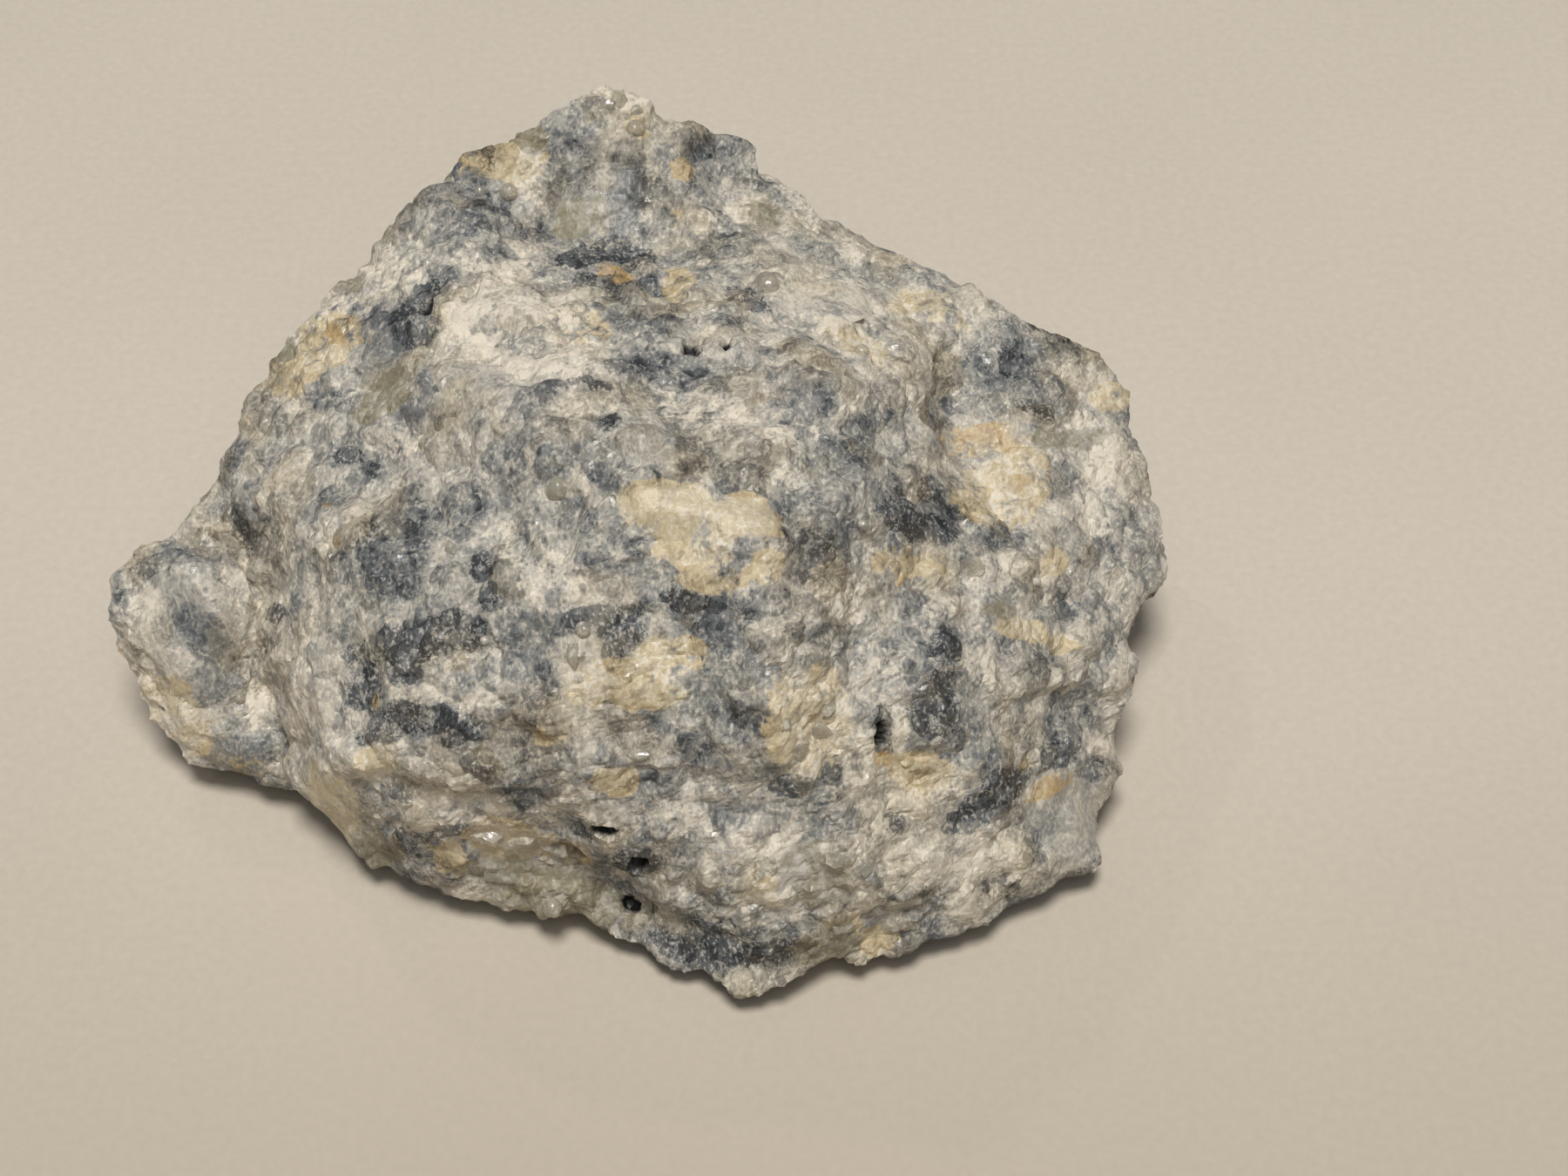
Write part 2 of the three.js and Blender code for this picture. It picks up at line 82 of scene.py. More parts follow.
# Patches of mineral on the side that shows: across, up, half width, half height and, where it is
# turned, the turn in degrees. The last four kinds aren't minerals. Smooth says where the skin is
# smooth; pale and dim lighten and darken broad zones, partly as the stone's own tone and partly as
# painted light on faces turned from the lamp and painted shade in recesses; pit says where the skin
# is dented, and its bottom is painted near-black as painted shade.
PATCHES = {
    # Some black patches are painted shade: the five in the recess under the lower ledge, from -6.2 to 0
    # across and -21.2 to -23.4 up, those at -12.2, -15.3 and -21.8, -15.6 under the ledge further left, and
    # the two in the slot at 6.1, -8.5 and 6.5, -9.8.
    "black": [
        (-11.3, 21.2, 1.6, 0.7, 12), (-13.2, 20.7, 1.1, 0.5, 10), (-9.6, 20.8, 1.2, 0.8, -15),
        (-12.6, 19.3, 0.7, 0.5, 30), (-22.8, 18.6, 0.6, 1.1, -25), (-23.2, 16.8, 1.3, 1.4),
        (-2.1, 18.2, 1.5, 0.6, -20), (-27.3, 8.3, 0.9, 0.5), (-25.8, 7.4, 0.7, 0.4, -20),
        (-10, 14.1, 1.3, 0.5, 5), (-12.2, 12.8, 1.2, 0.5, -15), (-11.1, 10.5, 0.6, 0.5, 20),
        (7.1, 5, 1.2, 1.1), (9, 6.2, 0.8, 0.6, 20), (9.2, 3.6, 1.5, 0.9), (-33.9, 3.4, 0.6, 0.8, 10),
        (-32, -1.6, 0.6, 0.5), (-26.4, -4.8, 1.2, 1.1), (-24, -4.6, 1.1, 1.2, 30),
        (-24, -3.8, 3.2, 1.3, 18), (-22.6, -8.4, 2.8, 0.8, -5), (-22, -3, 1.8, 0.8, 40),
        (-20.2, -2.9, 1.1, 1), (-26.6, -6.5, 1.2, 0.9), (-23, -7.6, 1.7, 0.6), (-25.6, -9.2, 1.4, 0.6, 8),
        (-24.2, -12.6, 1.1, 0.7), (-21, -9.2, 1, 0.5), (-18.9, 1.4, 0.8, 0.8),
        (-12.4, -1.8, 1.4, 0.5, 10), (-10.2, -2.4, 1.3, 1.2), (-10.9, -4.2, 0.5, 0.8),
        (-6, -0.9, 1.4, 0.6, -10), (10.2, -4, 0.8, 1.5), (9.4, -7.7, 1.3, 1.5),
        (9.9, -5.9, 0.7, 0.8, -30), (6.1, -8.5, 0.45, 0.95, 5), (11.2, -14.8, 1.2, 0.6, 10),
        (12.2, -13.7, 1, 0.6, 45), (13.6, -12.5, 1.9, 0.9, 20), (17.2, -10.5, 1.2, 0.8),
        (-9.3, -17.2, 1.2, 0.7), (-12.2, -15.3, 1.5, 0.5, -8), (-4.8, -21.2, 2, 0.8, -30),
        (-6.2, -22.6, 2.2, 0.8, -25), (-3.2, -22.6, 1.9, 0.9, -20), (0, -23, 1.9, 0.7, 5),
        (-4.9, -23.4, 1.2, 0.9, -40), (-23.8, -16.2, 0.9, 1.1, -15), (-21.8, -15.6, 1.7, 0.4, 8),
        (9.4, -19.6, 0.9, 0.6, -35), (0.6, -12.6, 1.2, 0.6), (6.8, -14.8, 0.6, 0.6),
        (17.4, 16.2, 1.2, 0.7, -30), (15.6, 11.2, 1, 0.4, -30), (14, 14.4, 0.4, 0.9),
        (6.5, -9.8, 0.42, 0.7, -8), (-1.2, -17.6, 0.6, 0.6, -45), (-18.6, -0.5, 0.6, 0.8),
        (13.6, -18.8, 0.9, 0.7), (2.2, 2.2, 0.6, 0.5, 30),
    ],
    "slate": [
        (-17.5, 27.6, 2.2, 0.8, 35), (-13.4, 26.2, 1.6, 1.6), (-10.1, 25, 0.9, 3, -3),
        (-8.5, 25.4, 1.8, 0.7, -20), (-19, 23.8, 1.7, 1.3, 10), (-15.8, 22.5, 1.2, 0.6),
        (-9.6, 19, 1.7, 1.1), (-15, 19.4, 1.5, 0.7, 5), (-18.3, 21.2, 0.9, 0.5),
        (-21.2, 18.9, 0.6, 1.5, -20), (-25.3, 15.2, 1.6, 2.4), (-16.4, 16.2, 2.2, 0.5, 5),
        (-16.6, 15.3, 1.7, 0.6, -10), (-9, 16.6, 1.8, 0.7, -20), (-7.4, 17.5, 1.1, 0.7),
        (-8.5, 13.6, 1.6, 1.2, 20), (-5.2, 13.3, 1.8, 0.7, -10), (-4.2, 28, 2, 0.9), (-2, 25.7, 1.2, 0.7),
        (-3.4, 21.6, 1.6, 0.7), (-0.6, 20.6, 1.3, 0.5, 12), (-3.6, 17.2, 1.2, 0.7), (2.4, 21.5, 1.6, 0.9),
        (7.2, 14.8, 0.9, 0.6), (-28, 11.7, 1.9, 0.8, -5), (-32.6, 10.9, 0.9, 1.3, 40),
        (-28.2, 5.9, 1.3, 0.6, 15), (-24.5, 3.2, 2, 2.4), (-24.8, 0.4, 1.5, 1.1), (-27.4, 1.6, 1.3, 1.1),
        (-20.4, 5.3, 1.6, 1.1), (-20.6, 3.5, 0.9, 0.5, -10), (-33.4, 3.4, 1.3, 1.2), (-35, 4.9, 1.1, 0.6),
        (-31.6, 1.6, 0.7, 0.6), (-11.4, 7, 0.9, 0.7, -30), (-13.3, 4.6, 1.3, 1), (-5.8, 8.4, 1, 1.3, 10),
        (-2.5, 7, 1.6, 1), (-1.4, 8.6, 1.4, 0.7), (1.3, 12.4, 1.9, 1.2, -20), (0.6, 10.8, 1, 0.5, -20),
        (4.6, 9.6, 0.9, 1.3, -30), (3.8, 7.8, 1.4, 1.1), (0.9, 5.2, 1.5, 1), (1.9, 3.2, 2, 1.4),
        (1.6, 1.2, 1.1, 1.2), (-9.6, 2.7, 1.4, 0.6, -15), (5.8, 11.4, 0.8, 1.3),
        (9.9, 11.8, 0.8, 3.3, -3), (10, 12, 0.5, 2.4, -3), (11.8, 13.4, 1.1, 1.6), (14.4, 13.8, 2.2, 2.8),
        (17.4, 15.6, 2.2, 1.4, -35), (16.4, 12.6, 2, 1.9), (18.8, 15.2, 1.6, 0.7, -35),
        (17.6, 6.9, 1.3, 0.9), (19.6, 2.2, 1.3, 1), (22.4, 3.6, 0.9, 2.3, -5), (11.2, 5.2, 0.7, 0.6),
        (13.9, 3.3, 1.1, 0.8, -20), (17, -1, 1.5, 1.1), (-40.4, 1, 0.6, 2.2, -45),
        (-22.6, -16.4, 0.9, 0.9), (-34.4, -10.6, 2.3, 1.2), (-35.8, -6.2, 1.5, 1.2),
        (-36.6, 2.4, 1.9, 1.1), (-36.4, -3.2, 2.9, 1, -48), (-38.8, -2.4, 0.9, 0.7),
        (-33, -3.8, 0.5, 1.3, -10), (-32.6, -5.6, 1.3, 0.4, -15), (-32.2, -9.5, 1.5, 0.4),
        (-3.4, -1.8, 1.7, 1, -15), (-2.6, -3.8, 1.4, 1.5), (-11.2, -7.5, 0.8, 0.7),
        (-15.3, -6.2, 1.1, 1.4), (-18, -8.6, 1.8, 0.9), (-17.2, -10.6, 2.7, 2.3),
        (-16.8, -12.8, 1.8, 0.8, -15), (-9.2, -8.8, 1.7, 1.3), (-2.4, -8.3, 1.7, 1, -10),
        (-5.6, -10, 1.2, 0.9), (2.6, -3, 2.2, 0.7, -10), (1.2, -4.8, 1.5, 0.5, 5),
        (12, -10.3, 2.4, 1, -12), (11.4, -8.6, 1.2, 1), (16, -4.4, 0.9, 1.1), (14.2, -3.6, 0.8, 0.6),
        (18.4, -7.4, 1.4, 0.8), (16.6, -9.4, 1.5, 1.2), (13.4, -12.8, 2.4, 1.2, 28), (3, -11.7, 0.8, 0.5),
        (2.8, -14.4, 1.7, 1.3), (-8.4, -12.9, 2, 0.9, 10), (-8.2, -16.6, 2.6, 0.9, -15),
        (8.6, -20.8, 1.5, 1), (13.2, -19.6, 1.3, 1.7, -15), (-12.6, -20.8, 1.6, 0.9, -20),
        (-22.8, -17.4, 2.2, 0.9, -20), (-4.7, -19.2, 1.3, 1.2), (11, -21.5, 1.2, 0.5, 5),
        (7.4, -18.8, 1.3, 0.9), (-2.2, -22.8, 3.2, 1.2, -8), (15.2, -16, 0.9, 1.2),
        (19.8, -11.4, 1.2, 0.7), (1.2, -21.6, 1, 1), (-14.2, -1.6, 0.8, 1.2),
    ],
    "white": [
        (-10.2, 31, 1.8, 0.7), (-15.8, 25.8, 1, 1.4), (-8.5, 26.3, 0.5, 0.6), (-25.4, 20.3, 1.8, 1),
        (-23.3, 19.8, 0.8, 0.4), (-19.4, 20.9, 1.3, 0.7, -10), (-17, 20.2, 1.1, 0.6),
        (-18, 18.2, 2.5, 1.4, -10), (-15, 17.8, 2.5, 1, -10), (-18.8, 15.4, 1.3, 0.8),
        (-20.2, 17.5, 0.7, 1.9, 10), (-14.2, 14.4, 2, 1), (-17.5, 14, 1.5, 0.7), (-12.6, 11.8, 1.7, 0.9),
        (-5.8, 11.8, 1.9, 0.7, 10), (-3.6, 11, 1.2, 0.9), (-4.6, 9.9, 1.1, 0.8), (-3.9, 23.5, 1.5, 0.5),
        (1.2, 24.2, 1.9, 1.1, -40), (4.8, 21.4, 1.2, 0.7), (2.5, 17.8, 3.2, 1.8), (0.6, 9.2, 1.6, 1.3),
        (0.4, 6.9, 1.3, 0.5), (3.4, 11.4, 0.7, 0.7), (-24.6, 9.2, 1.9, 0.9), (-16.6, 2.6, 1.5, 1.5),
        (-14.6, 0.4, 1.7, 1.5), (-29.2, 3.2, 1, 0.8), (-40.4, -0.6, 1, 1.6, 45), (-39, -4.6, 1.4, 0.8),
        (-36, -0.5, 1.3, 0.4, -28), (-38.6, -4.6, 1.2, 0.5, 40), (-39.4, 1.6, 0.7, 0.5, 30),
        (-33.2, -6.8, 0.5, 2.6, -5), (-30.5, -6, 0.5, 2.4, -5), (-25.3, -5.2, 0.9, 0.7),
        (-26.9, -8.6, 0.7, 0.7), (-22.6, -6.7, 1.3, 0.6), (-21.6, -4.9, 0.9, 0.5),
        (-19.4, -7.4, 0.7, 1.1, -40), (-20.9, -11.5, 0.6, 0.5), (3.4, -0.9, 1.8, 1, -30),
        (9.8, -1.3, 0.8, 0.6), (13, 0.8, 1.1, 1.4, -25), (18.6, 13.2, 1.2, 1.1), (18.6, 10.5, 1, 0.6),
        (20.4, 8, 1.3, 1.2), (19.6, 4.6, 1.1, 1.3), (6.6, -4.6, 0.8, 0.7), (12.3, -5, 0.7, 1.2),
        (19.6, -9.6, 0.9, 0.6, -30), (5.4, -9.9, 0.4, 1), (7.4, -9.2, 0.5, 1.1),
        (11, -12.5, 1.3, 0.7, 10), (2.4, -13.1, 1.1, 0.45, 12), (-3.7, -25.2, 1.3, 0.22, -8),
        (-3.4, -24.7, 1.1, 0.18, -8), (-5.2, -20.4, 1.4, 0.22, -38), (-3.3, -21.6, 1, 0.2, -35),
        (-1.3, -22, 1.3, 0.2, 5), (-13, -13.2, 0.9, 0.6), (-15.4, -14.5, 0.9, 0.6),
        # The white patch at -18.4, -15.3 is a painted highlight beside the clear crystals.
        (-18.4, -15.3, 1.2, 0.8), (-24.2, -6.3, 0.5, 0.4), (-14.2, 19.8, 1, 0.5), (-7.4, -14.6, 1.4, 1),
        (12.4, -17.2, 1.5, 1),
    ],
    "cream": [
        (-13, 17, 1.8, 0.9, -30), (-7.5, 29.4, 1.3, 0.7), (-30.2, 13.9, 1.2, 0.8),
        (9.5, 17.5, 2.2, 0.8, -30), (-7, 4.8, 3.2, 1.6, -5), (-2.4, 4.4, 2, 1.4, -20),
        (-5.6, 2.3, 2.7, 1, -5), (-1.2, 1.4, 1.2, 1), (-4.4, 0.5, 1.9, 0.8), (-7, -4.2, 1.9, 1.1),
        (-10.2, -5.5, 3, 0.9), (-8.6, -6.7, 2.2, 0.9), (-12.4, -6.6, 1.3, 0.8), (14.9, 7.4, 1.5, 2, 30),
        (13, 6, 2, 1.6), (14.8, -2.6, 1.7, 0.7, -15), (20.6, 12.2, 0.9, 1.1), (-38.6, -8.3, 1.8, 1.3),
        (-37.2, -9.3, 1.1, 1.2), (-28.3, -13.6, 1.4, 2.6, 20), (-15, -9.4, 1.1, 0.7),
        (-10.8, -12.3, 1.4, 0.8), (-0.6, -18.9, 1.1, 0.8, 20), (2.4, -24.5, 1.9, 0.7, 22),
        (8.7, -11.6, 1.9, 1.2), (1.5, -8.2, 2.5, 3, 10), (-21.4, -16.8, 1.5, 0.8, -30),
        (-41.2, -5.8, 0.9, 0.7), (4.2, 15.6, 2.2, 0.9, -30),
    ],
    "tan": [
        (-9.4, 29, 0.8, 0.6), (-6.4, 26.4, 0.7, 0.7), (-6.7, 23.2, 0.5, 0.6), (-6.6, 19.2, 0.9, 1.3),
        (-28.8, 15.6, 2.1, 1.5), (-31.6, 13.2, 1.5, 1.1), (4.9, 14.9, 0.6, 0.6), (7.4, 17.8, 0.8, 0.5),
        (7.4, 1.6, 1.6, 1), (9.4, 1.4, 1, 0.9), (17.2, 1.6, 0.7, 0.8), (17.4, -3.6, 0.8, 0.6),
        (-39.2, -6.5, 1.4, 0.9), (-25.8, -11, 1, 0.9), (2.4, -9.6, 1.5, 1.6), (5.9, -22.2, 1.2, 0.8, 10),
        (-17, -15.9, 2.6, 1.2, -5), (-13.2, -16.9, 0.9, 0.8), (15.2, -10.9, 0.7, 0.5, 30),
        (13.2, 5.4, 2.4, 1.7), (-16, -18.6, 2.6, 1, -10), (3.9, -21.2, 1.1, 0.8),
        (-6.2, 5.2, 2.4, 0.9, -5),
    ],
    "rust": [
        (-10.8, 19.7, 1.1, 0.4, -20), (-28.4, 15.9, 0.6, 0.5), (12.6, 9.3, 2.6, 0.9, 5),
        (16.9, -12.6, 1.8, 0.45, 28), (8.7, -10.6, 0.6, 0.4), (6.4, -10.9, 0.5, 0.4),
        (-25.5, -7.1, 0.35, 0.5), (-28.7, 5.2, 0.3, 0.3), (-27.9, 2.9, 0.3, 0.3), (7.4, 0.5, 0.5, 0.3),
        (14.6, 6.6, 0.7, 0.5),
    ],
    "olive": [
        (-15.9, 28.4, 1, 0.9), (-12.9, 23.4, 1.7, 1, 20), (-0.9, 23.4, 0.8, 0.8),
        (-24.8, 12.4, 1.7, 1.1, 30), (-26.2, 10.9, 0.7, 0.6), (-27.3, 19.3, 0.9, 1),
        (-31.6, 15, 0.9, 0.6, 30), (16.6, 9.4, 1, 0.6, -10), (18.6, 9.5, 1.3, 0.6, 5),
        (13.6, -1.4, 1.1, 0.5), (-14.4, -19.2, 5.2, 1.4, -16), (2.6, -22.6, 1.9, 0.9, 10),
        (1.9, -18.2, 2, 1.9), (-25.6, -16.2, 1.6, 1.2),
    ],
    "smooth": [
        (-10.2, 24.8, 1, 2.8, -4), (-12.6, 25.2, 1.3, 2.6), (-7, 4.7, 3, 1.5, -5),
        (-2.4, 4.6, 1.9, 1.3, -20), (-28.4, -13.6, 1.4, 2.7, 20), (2.5, 17.8, 2.8, 1.6),
        (-8.4, 9.2, 1.9, 1.4), (18.8, -14.8, 2.7, 2.8, 10), (-37.4, -3.2, 2.7, 3.6, 20),
        (-34.6, -10.2, 1.8, 1.1), (-25.3, 15, 1.4, 2.1), (-21, 10.8, 1.6, 1, 20), (-19.5, 13.2, 1.6, 1),
        (-17.2, -16, 2.2, 1.1, -5),
    ],
    # Pale zones are partly paler stone and partly painted light on faces that the lamp overhead lights too
    # little.
    "pale": [
        (2, 21, 5.5, 3.2, -35), (-3, 16.6, 3, 2.4), (5.5, 15.6, 3, 2, -20), (6.5, 19, 4, 2.2, -30),
        (2.5, 17.6, 3.6, 2.4), (-1, 25.5, 3, 1.6, -35), (-8.5, 29.5, 2.6, 1.8), (-17.5, 16, 4.2, 3.2),
        (-12, 14.5, 2.8, 2.4), (-16.5, 19, 3.4, 1.8), (-26.5, 13, 2.2, 2.6), (-5, 4.2, 3.4, 2, -5),
        (-10.5, -6, 3.6, 2.2), (1, -8, 2.2, 3), (14, 7, 2.6, 2.6), (19, 9.5, 2.4, 4.2),
        (-40.2, -1.4, 1.4, 2), (-38.8, -7.4, 1.8, 2), (-21.8, -12.8, 2.8, 1.3, -12), (-11, -7.6, 3.2, 2),
        (0.4, -17.6, 3, 2.4), (-38.2, -8.6, 2.4, 1.8), (11.4, -18.4, 2.6, 2.6), (-26, -11.6, 2, 2.4),
        (11, 16.5, 3, 1.8, -30), (-29.5, -6, 1.4, 4.2), (10.5, -18.6, 3, 2), (-1.6, 11, 2.2, 1.6),
    ],
    # Dim zones are partly darker stone and partly painted shade, as in the recesses under the lower ledge.
    "dim": [
        (-5, -22, 5, 2, -15), (18.8, -14.8, 3.4, 3.6, 10), (-10.5, -18.4, 4, 2, -25),
        (-22.5, -4, 3.6, 3.2), (-24, 2.6, 3, 2.8), (-5.2, -2, 2.6, 1.6), (-3, 8.6, 3.4, 2.2),
        (-22.4, -9, 3, 2), (-17.5, -9.6, 3, 2.4), (9.4, 4.6, 2.2, 2), (9.8, -7, 2, 2.6),
        (14, -12.6, 3.4, 1.8, 25), (-23, -17, 3.4, 1.4, -20), (-11, 19.6, 3.6, 1.6),
        (-32.8, 3.2, 1.8, 1.4), (15.4, 13.6, 3, 2.4), (-3.5, -7.5, 2.4, 2), (0.5, -22.4, 3.2, 1.4, 5),
        (-3.4, -24.4, 3.6, 1.6), (-10.2, 25, 1.4, 2.8), (-13.4, 25.6, 1.6, 2), (-33.6, -10.4, 2.6, 1.6),
        (-36.2, -3.4, 2.6, 0.9, -48), (-40.6, 1.6, 2.2, 0.9, 45), (2, 2.6, 2.4, 2.4), (18, -8, 2.4, 2.4),
    ],
    # The pits are dents in the skin, their bottoms painted near-black as painted shade.
    "pit": [
        (-5.8, 15.2, 0.6, 0.4, -30), (-3.6, 15.3, 0.3, 0.3), (-9.7, -20, 0.6, 0.4, -40),
        (6.2, -9.2, 0.3, 0.8), (-11.4, -15.4, 0.9, 0.35, -5), (3.3, -23.7, 0.8, 0.25, 15),
        (-9.2, -17.4, 0.5, 0.4), (-22.6, 17.9, 0.35, 0.6, -20),
    ],
}

# Grains that stand out on the side that shows: across, up, half width, half height, turn in degrees,
# half thickness and what they are made of.
GRAINS = [
    (2.5, 17.8, 2.7, 1.6, -8, 0.35, "white"),
    (-28.4, -13.6, 1.3, 2.5, 20, 0.45, "cream"),
    (-16.6, 2.4, 1.3, 1.5, 0, 0.4, "white"),
    (13.0, 0.8, 0.7, 1.3, -25, 0.5, "white"),
    (7.4, 1.7, 1.3, 0.9, 0, 0.45, "tan"),
    (9.4, 1.4, 0.9, 0.8, 0, 0.45, "tan"),
    (-28.7, 15.9, 1.1, 0.9, 20, 0.4, "tan"),
    (-31.6, 13.2, 1.1, 0.8, -20, 0.4, "tan"),
    (-25.8, -11.0, 0.9, 0.8, 0, 0.5, "tan"),
    (-21.4, -16.8, 1.3, 0.8, -30, 0.4, "cream"),
    (-25.2, 15.0, 1.1, 1.7, 0, 0.35, "slate"),
    (-21.2, 10.8, 1.4, 0.9, 20, 0.35, "slate"),
]

# Round beads of glassy calcite: across, up, radius.
BEADS = [
    (-14.3, 6.3, 0.7),
    (-12.6, -2.6, 0.5),
    (-1.0, 19.1, 0.75),
    (-9.4, 29.0, 0.6),
    (-17.4, 25.0, 0.6),
    (-19.2, 25.0, 0.4),
    (5.0, 4.0, 0.35),
    (4.9, 14.9, 0.5),
    (-14.6, -20.2, 0.6),
    (-34.4, -6.9, 0.35),
    (15.9, 0.4, 0.3),
    (-18.9, -3.3, 0.3),
]

# Clear crystals: across, up, half width, half height, turn in degrees.
CRYSTALS = [
    (-18.6, -15.7, 1.3, 0.9, 10),
    (-16.6, -16.2, 1.7, 0.9, -8),
    (-14.4, -16.4, 1.1, 0.8, -20),
    (-17.8, -18.2, 1.1, 0.7, 0),
    (2.2, -9.0, 0.9, 0.7, -20),
    (1.0, -10.4, 0.7, 0.8, 10),
    (2.9, -7.4, 0.6, 0.6, 0),
    (3.3, -17.3, 0.6, 0.5, 0),
    (0.9, -18.9, 0.6, 0.4, 20),
    (3.8, -19.6, 0.5, 0.5, 0),
    (5.2, -17.9, 0.5, 0.6, 0),
    (-21.0, 2.5, 0.8, 0.4, -40),
    (-8.8, 2.4, 0.5, 0.4, 0),
    (4.0, -21.4, 0.9, 0.6, 0),
    (-9.2, -10.6, 0.8, 0.5, 0),
    (-11.2, 30.6, 0.7, 0.5, 20),
    (-10.3, 30.7, 0.6, 0.6, 0),
    (-9.3, 30.2, 0.5, 0.6, -20),
    (-10.0, 29.8, 0.5, 0.4, 0),
    (0.2, -8.6, 0.5, 0.5, 0),
    (12.0, 1.4, 0.9, 0.8, 0),
    (-20.4, 12.5, 0.5, 0.3, 0),
    (-13.3, -4.3, 0.45, 0.9, 0),
]


def shown_at(points):
    """Across and up, in metres, where points show on the plane through AIM."""
    rays = points - np.array(EYE)
    on_plane = rays * (-VIEW_DISTANCE / (rays @ np.array(TOWARDS_EYE)))[:, None] + np.array(EYE - AIM)
    return on_plane @ np.array(SIDEWAYS), on_plane @ np.array(UPWARDS)


def sight_line(across, up):
    """The direction from the viewpoint to a place on the plane through AIM."""
    return (AIM + SIDEWAYS * across + UPWARDS * up - EYE).normalized()


# -----------------------------------------------------------------------------
# Settings


def size(name, about, millimetres):
    return FloatProperty(name=name, description=about, default=millimetres * MM, unit="LENGTH", precision=5)


def number(name, about, value):
    return IntProperty(name=name, description=about, default=value, min=0)


def colour(name, about, value):
    settings = {"subtype": "COLOR", "size": 3, "min": 0, "max": 1}
    return FloatVectorProperty(name=name, description=about, default=value, **settings)


def power(name, about, watts):
    return FloatProperty(name=name, description=about, default=watts, unit="POWER")


class StoneShape(bpy.types.PropertyGroup):
    pitch: size("Mesh pitch", "Spacing of the points of the stone's skin", 0.335)
    lump_size: size("Lump size", "Width of a broken lump", 6.0)
    lump_step: size("Lump step", "Height between lumps", 0.6)
    chip_size: size("Chip size", "Width of a chip in the skin", 2.3)
    chip_step: size("Chip step", "Height between chips", 0.34)
    crumb_size: size("Crumb size", "Width of the smallest chips in the skin", 1.0)
    crumb_step: size("Crumb step", "Height between the smallest chips", 0.14)
    pit_depth: size("Pit depth", "Depth of a pit", 0.8)
    seed: number("Seed", "Picks the patches on the far side", 7)


class GrainShape(bpy.types.PropertyGroup):
    smallest: size("Smallest grain", "Half the width of the smallest coarse grain", 0.4)
    largest: size("Largest grain", "Half the width of the largest coarse grain", 0.85)
    crumb: size("Crumb", "Half the width of a crumb", 0.26)
    tries: number("Grains tried", "How many places are tried for a coarse grain", 900)
    crumbs: number("Crumbs tried", "How many places are tried for a crumb", 2600)
    seed: number("Seed", "Picks the places and shapes of the grains", 11)


class StoneColours(bpy.types.PropertyGroup):
    black: colour("Black", "Darkest mineral", (0.025, 0.028, 0.032))
    slate: colour("Slate", "Dark blue-grey calcite", (0.106, 0.116, 0.125))
    grey: colour("Grey", "Plain grey calcite", (0.255, 0.254, 0.24))
    pale: colour("Pale", "Light grey calcite", (0.48, 0.455, 0.405))
    white: colour("White", "Chalky crust", (0.78, 0.715, 0.605))
    brown: colour("Brown", "Shade in the warm grains", (0.12, 0.095, 0.06))
    tan: colour("Tan", "Yellow-brown calcite", (0.47, 0.37, 0.215))
    cream: colour("Cream", "Cream calcite", (0.67, 0.575, 0.395))
    rust: colour("Rust", "Iron stain", (0.5, 0.325, 0.13))
    olive: colour("Olive", "Olive-brown calcite", (0.29, 0.264, 0.18))
    glass: colour("Clear calcite", "Tint of the clear crystals", (0.93, 0.9, 0.8))
    depth: colour("Clear depth", "What the clear crystals let through, deep inside", (0.92, 0.84, 0.62))


class StageLook(bpy.types.PropertyGroup):
    paper: colour("Paper", "Colour of the sheet of paper", (0.655, 0.594, 0.508))
    key: power("Top light", "Power of the wide light overhead", 9.98)
    front: power("Front light", "Power of the weaker light in front", 0.6)
    spark: power("Spark", "Power of the small light that glints", 0.12)
    sky: FloatProperty(name="Fill", description="Strength of the even light all round", default=0.05)


# -----------------------------------------------------------------------------
# Node graphs


class Value:
    """A socket's value. Sums with it add Math nodes."""

    def __init__(self, graph, socket):
        self.graph = graph
        self.socket = socket

    def __add__(self, other):
        return self.graph.math("ADD", self, other)

    def __sub__(self, other):
        return self.graph.math("SUBTRACT", self, other)

    def __rsub__(self, other):
        return self.graph.math("SUBTRACT", other, self)

    def __mul__(self, other):
        return self.graph.math("MULTIPLY", self, other)

    __radd__ = __add__
    __rmul__ = __mul__


